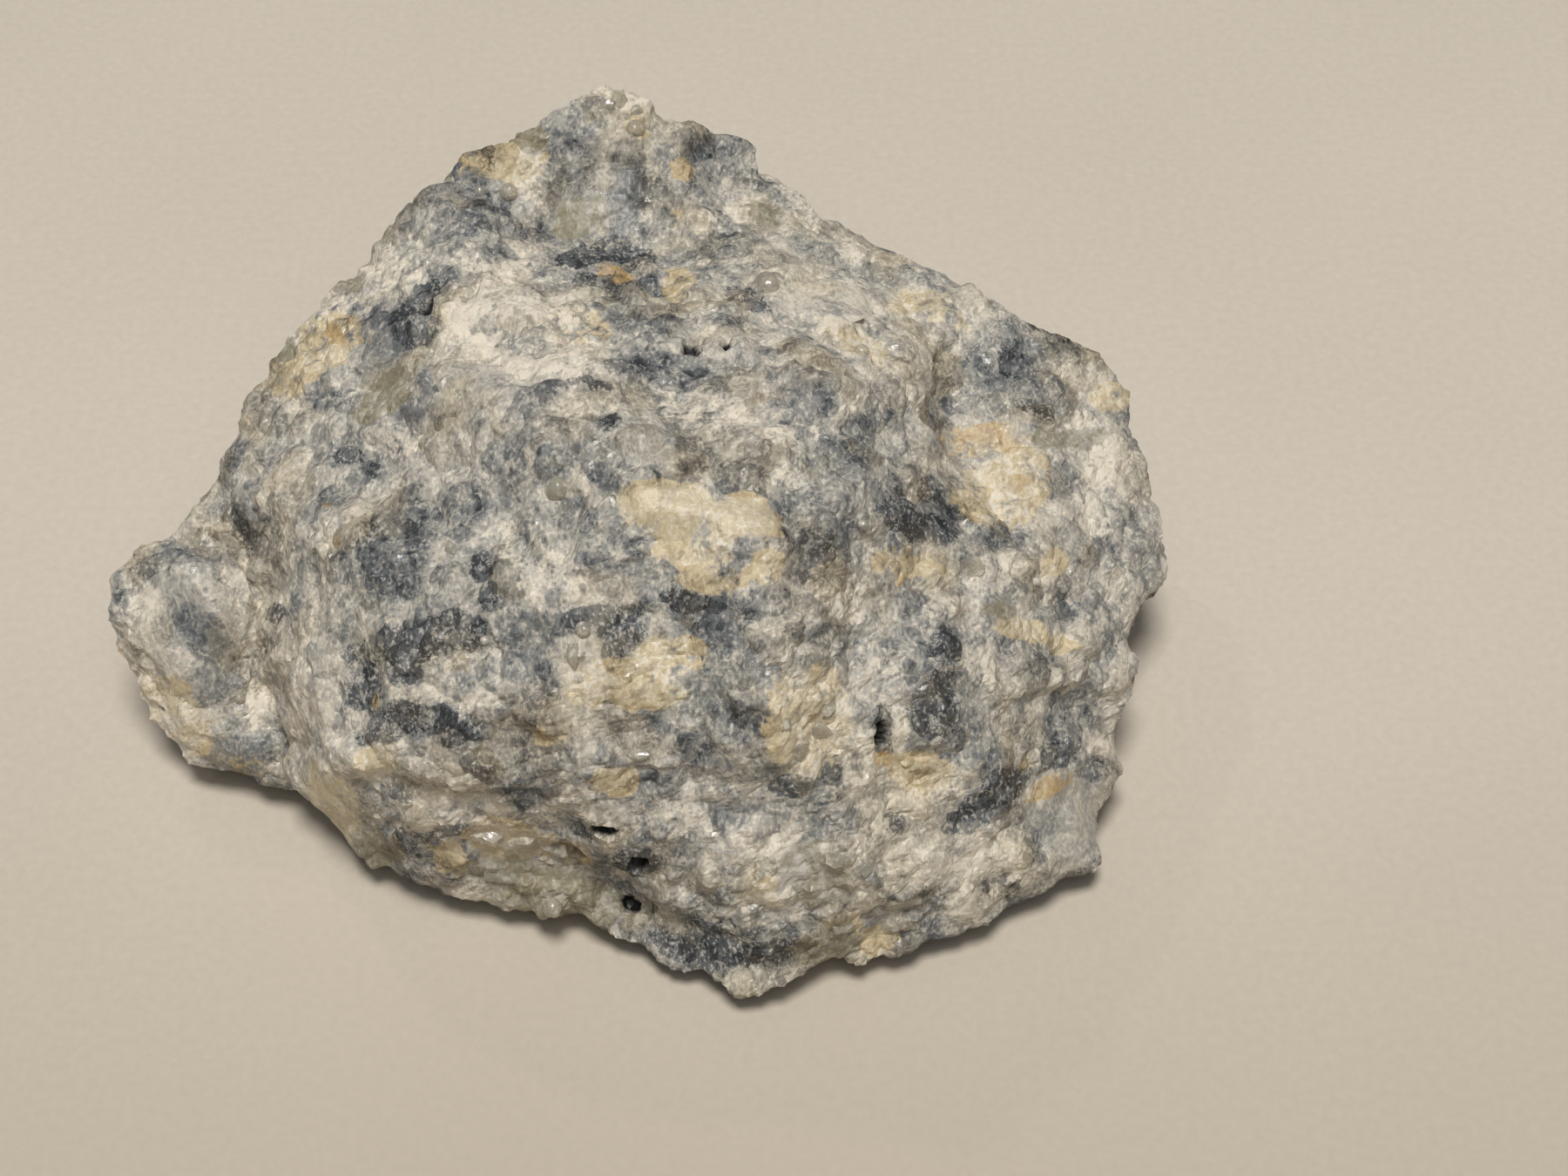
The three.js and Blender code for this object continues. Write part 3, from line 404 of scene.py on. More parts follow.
class Graph:
    """Adds nodes to a material's or a modifier's tree."""

    def __init__(self, tree):
        self.tree = tree

    def add(self, kind, settings=None, output=0, **inputs):
        """Adds a node, its settings first. An input is named with _ for a space, or by number, as in i0."""
        node = self.tree.nodes.new(kind)
        for name, value in (settings or {}).items():
            if name == "stops":
                self.set_stops(node.color_ramp, value)
            else:
                setattr(node, name, value)
        for name, value in inputs.items():
            key = int(name[1:]) if name[0] == "i" and name[1:].isdigit() else name.replace("_", " ")
            if isinstance(value, Value):
                self.tree.links.new(value.socket, node.inputs[key])
            else:
                node.inputs[key].default_value = value
        return Value(self, node.outputs[output]) if node.outputs else node

    def set_stops(self, ramp, stops):
        while len(ramp.elements) < len(stops):
            ramp.elements.new(0.5)
        for element, (position, value) in zip(ramp.elements, stops):
            element.position = position
            element.color = (*value, 1.0)

    def math(self, operation, *values):
        inputs = {f"i{i}": value for i, value in enumerate(values)}
        return self.add("ShaderNodeMath", {"operation": operation}, **inputs)

    def vector(self, operation, *values, output=0):
        inputs = {f"i{i}": value for i, value in enumerate(values)}
        return self.add("ShaderNodeVectorMath", {"operation": operation}, output=output, **inputs)

    def clamp(self, value, low, high):
        return self.math("MINIMUM", self.math("MAXIMUM", value, low), high)

    def scaled(self, vector, factor):
        return self.add("ShaderNodeVectorMath", {"operation": "SCALE"}, i0=vector, Scale=factor)

    def part(self, vector, axis):
        """One coordinate of a vector, or one channel of a colour."""
        direction = tuple(float(axis == i) for i in range(3))
        return self.vector("DOT_PRODUCT", vector, direction, output="Value")

    def step(self, value, low, high):
        """0 below low and 1 above high, with a smooth rise between."""
        settings = {"interpolation_type": "SMOOTHSTEP"}
        return self.add("ShaderNodeMapRange", settings, Value=value, From_Min=low, From_Max=high)

    def blend(self, factor, a, b):
        """Colour a where the factor is 0, and b where it is 1."""
        a, b = (value if isinstance(value, Value) else (*value, 1.0) for value in (a, b))
        return self.add("ShaderNodeMix", {"data_type": "RGBA"}, output=2, i0=factor, i6=a, i7=b)

    def noise(self, place, width, detail=3.0, roughness=0.55, output="Fac"):
        inputs = {"Vector": place, "Scale": 1 / width, "Detail": detail, "Roughness": roughness}
        return self.add("ShaderNodeTexNoise", output=output, **inputs)

    def cells(self, place, width, output, feature="F1"):
        inputs = {"Vector": place, "Scale": 1 / width}
        return self.add("ShaderNodeTexVoronoi", {"feature": feature}, output=output, **inputs)

    def warped(self, place, width, reach):
        """The place, shifted by soft waves of this width, at most about as far as reach."""
        shift = self.vector("SUBTRACT", self.noise(place, width, 1.0, output="Color"), (0.5, 0.5, 0.5))
        return self.vector("ADD", place, self.scaled(shift, 2 * reach))

    def chips(self, place, width, step, tilt, dome):
        """Height of a surface broken into chips, each at its own level and tilt, with a rounded border."""
        centre = self.cells(place, width, "Position")
        random = self.cells(place, width, "Color")
        edge = self.cells(place, width, "Distance", "DISTANCE_TO_EDGE")
        slope = self.scaled(self.vector("SUBTRACT", random, (0.5, 0.5, 0.5)), 2 * tilt)
        across = self.vector("DOT_PRODUCT", slope, self.vector("SUBTRACT", place, centre), output="Value")
        level = (self.part(random, 2) - 0.5) * step
        return (across + level) * self.step(edge, 0.0, 0.2) + (self.step(edge, -0.3, 0.35) - 0.8) * dome


def new_material(name):
    material = bpy.data.materials.new(name)
    material.use_nodes = True
    material.node_tree.nodes.clear()
    return material, Graph(material.node_tree)


# -----------------------------------------------------------------------------
# Minerals

# Widths of the marks in the stone.
BROAD_WIDTH = 8 * MM
STAIN_WIDTH = 5 * MM
ISLAND_WIDTH = 2.6 * MM
MOTTLE_WIDTH = 1.3 * MM
WISP_WIDTH = 1.0 * MM
GRIT_WIDTH = 0.42 * MM
SPECK_WIDTH = 0.4 * MM
FINE_WIDTH = 0.2 * MM
GRAIN_SQUEEZE = (1.0, 0.72, 0.72)  # below 1, the marks are longer front to back and up the sides
WAVE = (1.6 * MM, 0.5 * MM)  # width and reach of the waves that bend the borders between grains

CALCITE_IOR = 1.6
CLEAR_DENSITY = 500.0  # absorption in the clear crystals, per metre
PATCH_END = 1.65  # a patch is gone this many of its radii from its middle, and whole one radius nearer
# Painted shade: the bottoms of the pits are painted near-black.
PIT_SHADE = (0.01, 0.01, 0.01)


def ray_tree(mesh):
    points = [vertex.co[:] for vertex in mesh.vertices]
    return BVHTree.FromPolygons(points, [face.vertices[:] for face in mesh.polygons])


class Skin:
    """The finished skin of the stone, to set grains on."""

    def __init__(self, mesh):
        self.tree = ray_tree(mesh)
        mesh.calc_loop_triangles()
        corners = np.zeros(len(mesh.loop_triangles) * 3, np.int32)
        mesh.loop_triangles.foreach_get("vertices", corners)
        self.corners = read_vectors(mesh, "co")[corners.reshape(-1, 3)]
        cross = np.cross(self.corners[:, 1] - self.corners[:, 0], self.corners[:, 2] - self.corners[:, 0])
        self.areas = np.linalg.norm(cross, axis=1) / 2
        self.normals = cross / (2 * self.areas + 1e-12)[:, None]

    def scatter(self, count, rng):
        """Points spread evenly over the skin, with its normals there."""
        chosen = rng.choice(len(self.areas), count, p=self.areas / self.areas.sum())
        a, b = rng.random((2, count, 1))
        fold = a + b > 1
        a, b = np.where(fold, 1 - a, a), np.where(fold, 1 - b, b)
        first, second, third = (self.corners[chosen, i] for i in range(3))
        return first + a * (second - first) + b * (third - first), self.normals[chosen]

    def fits(self, points, reach):
        """Whether the skin is within reach of every point."""
        return all(self.tree.find_nearest(point, reach)[0] is not None for point in points)

    def under(self, across, up):
        """The point and normal that show at a place on the plane through AIM."""
        direction = sight_line(across * MM, up * MM)
        point, normal, _, _ = self.tree.ray_cast(EYE, direction)
        if point is None:
            raise RuntimeError(f"nothing shows at {across}, {up}")
        return point, normal


PLAIN_TREE = ray_tree(PLAIN_STONE)


def surface_point(across, up):
    """The point of the plain solid, or else the one as far off as AIM, that shows at a place."""
    direction = sight_line(across * MM, up * MM)
    point, _, _, _ = PLAIN_TREE.ray_cast(EYE, direction)
    return EYE + direction * VIEW_DISTANCE if point is None else point


class Shown:
    """Where points show from the viewpoint, to tell which patches they are in."""

    def __init__(self, points):
        self.across, self.up = shown_at(points)
        self.near = points @ np.array(TOWARDS_EYE)

    def strength(self, across, up, wide, high, turn=0):
        """1 well inside a patch, about 0.6 on its outline and 0 well outside."""
        reach = PATCH_END * max(wide, high) * MM
        result = np.zeros(len(self.near))
        beside, above = self.across - across * MM, self.up - up * MM
        close = np.nonzero((np.abs(beside) < reach) & (np.abs(above) < reach))[0]
        beside, above = beside[close], above[close]
        nearer = self.near[close] - surface_point(across, up).dot(TOWARDS_EYE)
        c, s = math.cos(math.radians(turn)), math.sin(math.radians(turn))
        x = (beside * c + above * s) / (wide * MM)
        y = (above * c - beside * s) / (high * MM)
        z = nearer / (1.3 * max(wide, high) * MM + 1.2 * MM)
        result[close] = np.clip(PATCH_END - np.sqrt(x * x + y * y + z * z), 0, 1)
        return result


# How many patches of each kind the far side has, and their smallest and largest radii in millimetres.
FAR_PATCHES = {
    "black": (26, 0.8, 2.4),
    "slate": (60, 1.2, 3.8),
    "white": (50, 1.2, 3.8),
    "cream": (26, 1.0, 2.8),
    "tan": (16, 0.6, 1.8),
    "rust": (10, 0.3, 1.2),
    "olive": (10, 0.8, 2.2),
    "smooth": (20, 1.2, 2.8),
    "pit": (10, 0.3, 0.8),
    "pale": (9, 3.0, 7.0),
    "dim": (9, 3.0, 7.0),
}


def far_patches(rng):
    """Random patches of each kind for the side that's turned away: centre, stretch and radius."""
    away = [face for face in PLAIN_STONE.polygons if face.normal.dot(TOWARDS_EYE) < -0.05]
    weights = np.array([face.area for face in away])
    found = {}
    for kind, (count, small, large) in FAR_PATCHES.items():
        chosen = rng.choice(len(away), count, p=weights / weights.sum())
        found[kind] = [
            (np.array(away[i].center), rng.uniform(0.6, 1.5, 3), rng.uniform(small, large) * MM)
            for i in chosen
        ]
    return found


def mineral_strengths(points, seed):
    """How strongly each kind of patch shows at each point."""
    far = far_patches(np.random.default_rng(seed))
    shown = Shown(points)
    strengths = {}
    for kind, patches in PATCHES.items():
        strength = np.zeros(len(points))
        for centre, stretch, radius in far[kind]:
            distance = np.linalg.norm((points - centre) * stretch, axis=1) / radius
            strength = np.maximum(strength, np.clip(1.5 - distance, 0, 1))
        for patch in patches:
            strength = np.maximum(strength, shown.strength(*patch))
        strengths[kind] = strength
    return strengths


def painted_light_on_sides(points):
    """About 0 on top of the stone and 1 low on its sides: how strongly painted light lightens the skin
    there.
    """
    around = points / np.array(CAD_BOX[1])
    return 1 - around[:, 2] / np.linalg.norm(around, axis=1)


def read_vectors(mesh, name):
    numbers = np.zeros(len(mesh.vertices) * 3)
    mesh.vertices.foreach_get(name, numbers)
    return numbers.reshape(-1, 3)


def write_values(mesh, values):
    for name, numbers in values.items():
        numbers = np.ascontiguousarray(numbers, np.float32)
        if numbers.ndim == 1:
            mesh.attributes.new(name, "FLOAT", "POINT").data.foreach_set("value", numbers)
        else:
            mesh.attributes.new(name, "FLOAT_VECTOR", "POINT").data.foreach_set("vector", numbers.ravel())


def calcite_material(colours, shape):
    material, g = new_material("Calcite")

    def mineral(kind):
        return g.add("ShaderNodeAttribute", {"attribute_name": kind}, output="Fac")

    place = g.add("ShaderNodeAttribute", {"attribute_name": "place"}, output="Vector")
    spot = g.vector("MULTIPLY", g.add("ShaderNodeTexCoord", output="Object"), GRAIN_SQUEEZE)
    tone = mineral("tone")
    wavy = g.warped(place, *WAVE)
    drawn = g.vector("MULTIPLY", wavy, GRAIN_SQUEEZE)
    mottle = g.noise(drawn, MOTTLE_WIDTH, 3.0, 0.6) - 0.5
    island = g.noise(g.vector("ADD", drawn, (0.3, 0.1, 0.7)), ISLAND_WIDTH) - 0.5
    wisps = g.noise(g.vector("ADD", drawn, (0.1, 0.5, 0.2)), WISP_WIDTH, 2.0, 0.5)
    speck = g.noise(spot, SPECK_WIDTH, 2.0) - 0.5
    broad = g.noise(place, BROAD_WIDTH, 1.0, 0.5) - 0.5
    chip = g.cells(wavy, shape.chip_size, "Color")
    chip_edge = g.cells(wavy, shape.chip_size, "Distance", "DISTANCE_TO_EDGE")
    crumb = g.cells(wavy, shape.crumb_size, "Color")
    crumb_edge = g.cells(wavy, shape.crumb_size, "Distance", "DISTANCE_TO_EDGE")
    grit = g.cells(spot, GRIT_WIDTH, "Color")
    fine = g.noise(spot, FINE_WIDTH, 1.0, 0.5) - 0.5
    dots = fine * 0.55 + speck * 0.75
    crumb_chance = (g.part(crumb, 1) - 0.5) * 0.5
    chance = (g.part(chip, 1) - 0.5) * 0.45 + crumb_chance
    grit_chance = (g.part(grit, 1) - 0.5) * 0.3
    ragged = 1 + island * 1.9 + mottle * 1.8 + speck * 1.6 + chance + grit_chance

    def patch(kind):
        return g.step(mineral(kind) * ragged, 0.4, 0.6)

    white = patch("white")
    slate = g.step(mineral("slate") * (ragged + dots), 0.4, 0.5)
    frayed = ragged + crumb_chance + dots * 1.6
    dark = g.step(mineral("black") * frayed, 0.34, 0.44) * (1 - white * 0.5)
    cream, tan, rust, olive = (patch(kind) for kind in ("cream", "tan", "rust", "olive"))
    smooth = g.step(mineral("smooth"), 0.35, 0.65)
    scattered = g.step(island + speck * 0.5 + chance * 0.3, 0.13, 0.16) * (1 - white) * (1 - smooth)
    shade = g.math("MAXIMUM", slate, scattered * 0.6)

    # Frosted borders run between darker, clearer grains, and pale wisps run through them.
    wisp = 1 - g.step(g.math("ABSOLUTE", wisps - 0.5), 0.015, 0.05)
    chip_rims = 1 - g.step(chip_edge + mottle * 0.05, 0.0, 0.06)
    crumb_rims = 1 - g.step(crumb_edge + mottle * 0.2, 0.02, 0.14)
    calm = 1 - smooth * 0.5
    frost = g.math("MAXIMUM", chip_rims * 0.8, g.math("MAXIMUM", crumb_rims * 0.6, wisp * 0.7)) * calm
    crisp = g.step(mottle, -0.03, 0.03) - 0.5
    flecks = g.step(dots, 0.09, 0.13)
    dints = 1 - g.step(dots, -0.15, -0.1)
    rings = 1 - g.step(g.math("PINGPONG", island * 11.0, 0.5), 0.05, 0.2)
    pieces = g.part(chip, 0) * 0.2 + g.part(crumb, 0) * 0.2 + g.part(grit, 0) * 0.16 - 0.28
    lightness = (
        0.47
        + broad * 0.12
        + mineral("pale") * 0.14
        - mineral("dim") * 0.09
        + (mottle * 0.46 + crisp * 0.11 + speck * 0.1 + pieces) * calm
        + flecks * (0.17 + shade * 0.02 + dark * 0.12) * calm
        - dints * (0.06 + white * 0.12) * calm
        + fine * 0.2
        + (tone - 0.5) * 0.1
        + frost * (0.17 - dark * 0.08)
        - shade * (0.24 - dark * 0.17)
        - dark * 0.37
        + white * 0.2 * (1 - smooth * 0.3)
        + rings * smooth * 0.14
        + cream * 0.1
        # Painted light: side lightens the steep, low sides of the stone.
        + mineral("side") * 0.17
        # Painted shade: under darkens the faces that turn down, beneath the stone.
        - mineral("under") * 0.5
    )
    cool_stops = [
        (0.0, colours.black),
        (0.2, colours.slate),
        (0.42, colours.grey),
        (0.66, colours.pale),
        (1.0, colours.white),
    ]
    warm_stops = [(0.0, colours.brown), (0.42, colours.tan), (0.84, colours.cream), (1.0, colours.white)]
    olive_stops = [(0.0, colours.brown), (0.62, colours.olive), (1.0, colours.pale)]
    rust_stops = [(0.0, colours.brown), (0.5, colours.rust), (1.0, colours.cream)]
    cool, warm, green, orange = (
        g.add("ShaderNodeValToRGB", {"stops": stops}, Fac=lightness)
        for stops in (cool_stops, warm_stops, olive_stops, rust_stops)
    )
    stain = g.step(g.noise(place, STAIN_WIDTH, 2.0, 0.5), 0.48, 0.62)
    yellowing = stain * 0.25 + g.step(g.part(chip, 2), 0.7, 0.9) * 0.2
    warmth = g.math("MAXIMUM", cream, tan) * g.clamp(0.86 + mottle * 2.2, 0.4, 1.0)
    body = g.blend(g.math("MAXIMUM", warmth, yellowing), cool, warm)
    body = g.blend(olive * 0.9, body, green)
    body = g.blend(rust * g.clamp(0.7 + mottle * 3, 0.3, 1.0), body, orange)
    # Painted shade: the bottoms of the pits are painted near-black.
    body = g.blend(g.step(mineral("pit") * (1 + mottle), 0.45, 0.75), body, PIT_SHADE)

    shiny = g.step(g.part(crumb, 2), 0.86, 0.9)
    roughness = 0.62 - shiny * (0.32 - smooth * 0.3) - smooth * 0.17 + white * 0.15 + frost * 0.15
    plates = g.part(grit, 2) * (0.08 - smooth * 0.06)
    height = (plates + g.noise(spot, 0.6 * MM, 2.0, 0.6) * 0.14) * MM
    bump = g.add("ShaderNodeBump", Strength=0.8, Distance=1.0, Height=height)
    surface = g.add(
        "ShaderNodeBsdfPrincipled",
        Base_Color=body,
        Roughness=roughness,
        Normal=bump,
        IOR=CALCITE_IOR,
        Subsurface_Weight=0.1,
        Subsurface_Scale=0.4 * MM,
    )
    g.add("ShaderNodeOutputMaterial", Surface=surface)
    return material


def clear_material(colours):
    material, g = new_material("Clear calcite")
    place = g.add("ShaderNodeTexCoord", output="Object")
    veil = g.step(g.noise(place, 0.8 * MM, 3.0, 0.6), 0.5, 0.7)
    grit = g.noise(place, 0.25 * MM, 2.0, 0.5)
    tint = g.blend(veil * 0.6, colours.glass, colours.white)
    bump = g.add("ShaderNodeBump", Strength=0.5, Distance=1.0, Height=grit * 0.06 * MM)
    clear = g.add(
        "ShaderNodeBsdfPrincipled",
        Base_Color=tint,
        Roughness=0.08 + grit * 0.1,
        Normal=bump,
        IOR=CALCITE_IOR,
        Transmission_Weight=1.0,
    )
    milky = g.add(
        "ShaderNodeBsdfPrincipled", Base_Color=tint, Roughness=0.35, Normal=bump, IOR=CALCITE_IOR
    )
    surface = g.add("ShaderNodeMixShader", i0=veil * 0.5 + 0.25, i1=clear, i2=milky)
    inside = g.add("ShaderNodeVolumeAbsorption", Color=(*colours.depth, 1.0), Density=CLEAR_DENSITY)
    g.add("ShaderNodeOutputMaterial", Surface=surface, Volume=inside)
    return material


# -----------------------------------------------------------------------------
# Stone


def relief_modifier(stone, shape):
    """Breaks the skin into lumps and chips, and keeps where each point was in the attribute place."""
    tree = bpy.data.node_groups.new("Broken skin", "GeometryNodeTree")
    tree.interface.new_socket("Geometry", in_out="INPUT", socket_type="NodeSocketGeometry")
    tree.interface.new_socket("Geometry", in_out="OUTPUT", socket_type="NodeSocketGeometry")
    g = Graph(tree)
    start = g.add("NodeGroupInput")
    place = g.add("GeometryNodeInputPosition")
    normal = g.add("GeometryNodeInputNormal")
    store = {"data_type": "FLOAT_VECTOR"}
    kept = g.add("GeometryNodeStoreNamedAttribute", store, Geometry=start, Name="place", Value=place)

    def mineral(kind):
        return g.add("GeometryNodeInputNamedAttribute", {"data_type": "FLOAT"}, Name=kind)

    wavy = g.warped(place, *WAVE)
    lumps = g.chips(wavy, shape.lump_size, shape.lump_step, tilt=0.1, dome=0.5 * MM)
    chips = g.chips(wavy, shape.chip_size, shape.chip_step, tilt=0.16, dome=0.4 * MM)
    crumbs = g.chips(wavy, shape.crumb_size, shape.crumb_step, tilt=0.1, dome=0.25 * MM)
    rough = 1 - g.step(mineral("smooth"), 0.35, 0.65) * 0.85
    pits = g.step(mineral("pit"), 0.4, 0.9)
    above_floor = g.part(place, 2)
    low = g.step(above_floor, 1 * MM, 6 * MM) * 0.6 + 0.4
    height = g.clamp(lumps * low + (chips + crumbs) * rough, -0.7 * MM, 0.6 * MM) + 0.2 * MM
    height = (height - pits * shape.pit_depth) * g.step(above_floor, 0.05 * MM, 1.5 * MM)
    moved = g.add("GeometryNodeSetPosition", Geometry=kept, Offset=g.scaled(normal, height))
    g.add("NodeGroupOutput", i0=moved)
    stone.modifiers.new("Broken skin", "NODES").node_group = tree


def apply_modifiers(piece):
    graph = bpy.context.evaluated_depsgraph_get()
    mesh = bpy.data.meshes.new_from_object(piece.evaluated_get(graph))
    piece.modifiers.clear()
    piece.data = mesh


def finish_piece(piece, material):
    piece.data.materials.clear()
    piece.data.materials.append(material)
    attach(piece, "root")


class CALCITE_OT_stone(bpy.types.Operator):
    """Makes the broken skin of the stone from the plain solid"""

    bl_idname = "calcite.stone"
    bl_label = "Stone"

    def execute(self, context):
        shape = context.scene.stone_shape
        rough = bmesh.new()
        rough.from_mesh(PLAIN_STONE)
        bmesh.ops.remove_doubles(rough, verts=rough.verts, dist=0.001 * MM)
        mesh = bpy.data.meshes.new("stone")
        rough.to_mesh(mesh)
        rough.free()
        stone = bpy.data.objects.new("stone", mesh)
        context.collection.objects.link(stone)
        remesh = stone.modifiers.new("Even skin", "REMESH")
        remesh.mode = "VOXEL"
        remesh.voxel_size = shape.pitch
        blunt = stone.modifiers.new("Blunt rims", "SMOOTH")
        blunt.factor = 0.5
        blunt.iterations = 6
        apply_modifiers(stone)
        points = read_vectors(stone.data, "co")
        values = mineral_strengths(points, shape.seed)
        values["tone"] = np.full(len(points), 0.5)
        # side holds how strongly painted light lightens the steep sides.
        values["side"] = painted_light_on_sides(points)
        # under holds painted shade on the faces that turn down.
        values["under"] = np.clip(-read_vectors(stone.data, "normal")[:, 2], 0, 1)
        write_values(stone.data, values)
        relief_modifier(stone, shape)
        apply_modifiers(stone)
        finish_piece(stone, calcite_material(context.scene.stone_colours, shape))
        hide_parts(NODE)
        return {"FINISHED"}


# -----------------------------------------------------------------------------
# Grains


def points_and_faces(work):
    """The points and faces of a bmesh, which is freed."""
    work.verts.index_update()
    points = np.array([vertex.co[:] for vertex in work.verts])
    faces = np.array([[vertex.index for vertex in face.verts] for face in work.faces])
    work.free()
    return points, faces


def knocked_block(rng, cuts, closeness):
    """A block with its corners knocked off by flat cuts, about one unit from its middle."""
    block = bmesh.new()
    bmesh.ops.create_cube(block, size=2)
    for _ in range(cuts):
        direction = Vector(rng.normal(size=3)).normalized()
        everything = block.verts[:] + block.edges[:] + block.faces[:]
        cut = bmesh.ops.bisect_plane(
            block,
            geom=everything,
            plane_co=direction * rng.uniform(closeness, closeness + 0.2),
            plane_no=direction,
            clear_outer=True,
        )
        rim = [item for item in cut["geom_cut"] if isinstance(item, bmesh.types.BMEdge)]
        if rim:
            bmesh.ops.holes_fill(block, edges=rim, sides=0)
    bmesh.ops.remove_doubles(block, verts=block.verts, dist=0.06)
    bmesh.ops.triangulate(block, faces=block.faces)
    return points_and_faces(block)


def pebble(rng, fineness=3):
    """A bead that's a little out of round, about one unit from its middle."""
    ball = bmesh.new()
    bmesh.ops.create_icosphere(ball, subdivisions=fineness, radius=1)
    points, faces = points_and_faces(ball)
    return points * (1 + 0.05 * np.sin(3 * points @ rng.normal(size=3)))[:, None], faces


def cobble(rng, flats, fineness=3):
    """A rounded grain with worn flats, about one unit from its middle."""
    points, faces = pebble(rng, fineness)
    for _ in range(flats):
        direction = rng.normal(size=3)
        direction /= np.linalg.norm(direction)
        over = points @ direction - rng.uniform(0.72, 0.92)
        points = points - np.clip(over, 0, None)[:, None] * direction * 0.9
    return points, faces


def facing(normal, along):
    """Axes of a piece that lies on a surface: along it, across it and out of it."""
    normal = normal / np.linalg.norm(normal)
    along = along - normal * (along @ normal)
    along = along / np.linalg.norm(along)
    return np.array([along, np.cross(normal, along), normal])


GRID_CELL = 2.4 * MM  # wider than two of the largest loose grains' radii
FLOOR_GAP = 1.0 * MM  # no loose grain is set lower than this
SUNK = 0.7  # share of a loose grain's half thickness that its middle lies under the skin
LARGE_SUNK = 0.3 * MM
CRYSTAL_SUNK = 0.1 * MM


class Heap:
    """Gathers grains into one mesh."""

    def __init__(self):
        self.points, self.faces, self.tone = [], [], []
        self.count = 0

    def set(self, shape, centre, axes, sizes, tone):
        """Adds one grain with its middle at centre."""
        points, faces = shape
        self.points.append(centre + (points * sizes) @ axes)
        self.faces.append(faces + self.count)
        self.tone.append(np.full(len(points), tone))
        self.count += len(points)

    def build(self, name, material, seed, kinds=None):
        """Makes the piece. Where kinds has values for its points, they stand in for the patches."""
        points = np.concatenate(self.points)
        faces = np.concatenate(self.faces)
        mesh = bpy.data.meshes.new(name)
        mesh.from_pydata(points.tolist(), [], faces.tolist())
        mesh.shade_smooth()
        mesh.set_sharp_from_angle(angle=math.radians(45))
        # side holds how strongly painted light lightens the grains on the steep sides.
        values = {"place": points, "side": painted_light_on_sides(points), "tone": np.concatenate(self.tone)}
        # The grains get no painted shade from under.
        values["under"] = np.zeros(len(points))
        values.update(mineral_strengths(points, seed))
        values.update(kinds or {})
        write_values(mesh, values)
        piece = bpy.data.objects.new(name, mesh)
        bpy.context.collection.objects.link(piece)
        finish_piece(piece, material)


def spaced_places(skin, radii, crowding, rng):
    """Places on the skin, one tried for each radius, where it's clear of the ones before."""
    points, normals = skin.scatter(len(radii), rng)
    found = []
    cells = {}  # the places found so far, by the cell that they are in
    for point, normal, radius in zip(points, normals, radii):
        if point[2] < FLOOR_GAP:
            continue
        cell = (point // GRID_CELL).astype(int)
        around = (tuple(cell + step - 1) for step in np.ndindex(3, 3, 3))
        near = [place for key in around for place in cells.get(key, ())]
        if all(math.dist(point, place) > crowding * (radius + other) for place, other in near):
            cells.setdefault(tuple(cell), []).append((point, radius))
            found.append((point, normal, radius))
    return found


def set_loose(heap, skin, shapes, places, flatness, tilt, rng):
    """Adds a grain of a random shape at each place, unless its rim would hang in the air."""
    for point, normal, radius in places:
        lean = normal + rng.normal(size=3) * tilt
        axes = facing(lean, rng.normal(size=3))
        sizes = radius * np.array([1.15, rng.uniform(0.65, 1.0), rng.uniform(*flatness)])
        shape = shapes[rng.integers(len(shapes))]
        rim = [point + axes[i] * sizes[i] * side for i in (0, 1) for side in (-0.9, 0.9)]
        if not skin.fits(rim, 0.45 * sizes[2]):
            continue
        heap.set(shape, point - axes[2] * sizes[2] * SUNK, axes, sizes, rng.random())


class CALCITE_OT_grains(bpy.types.Operator):
    """Covers the stone with coarse grains and crumbs"""

    bl_idname = "calcite.grains"
    bl_label = "Grains and crumbs"

    def execute(self, context):
        shape = context.scene.grain_shape
        seed = context.scene.stone_shape.seed
        rng = np.random.default_rng(shape.seed)
        stone = bpy.data.objects["stone"]
        skin = Skin(stone.data)
        material = stone.data.materials[0]
        span = shape.largest / shape.smallest
        radii = np.sort(shape.smallest * span ** (rng.random(shape.tries) ** 1.5))[::-1]
        places = self.outside_smooth(spaced_places(skin, radii, crowding=0.78, rng=rng), seed)
        cobbles = [cobble(rng, flats=6, fineness=2) for _ in range(16)]
        coarse = Heap()
        set_loose(coarse, skin, cobbles, places, flatness=(0.22, 0.36), tilt=0.12, rng=rng)
        coarse.build("grains", material, seed)
        radii = shape.crumb * rng.uniform(0.6, 1.5, shape.crumbs)
        places = self.outside_smooth(spaced_places(skin, radii, crowding=0.9, rng=rng), seed)
        cobbles = [cobble(rng, flats=5, fineness=2) for _ in range(12)]
        fine = Heap()
        set_loose(fine, skin, cobbles, places, flatness=(0.45, 0.75), tilt=0.3, rng=rng)
        fine.build("crumbs", material, seed)
        return {"FINISHED"}

    def outside_smooth(self, places, seed):
        """Leaves the smooth patches and the pits bare."""
        strengths = mineral_strengths(np.array([point for point, _, _ in places]), seed)
        bare = np.maximum(strengths["smooth"], strengths["pit"] * 1.5)
        return [place for place, value in zip(places, bare) if value < 0.45]


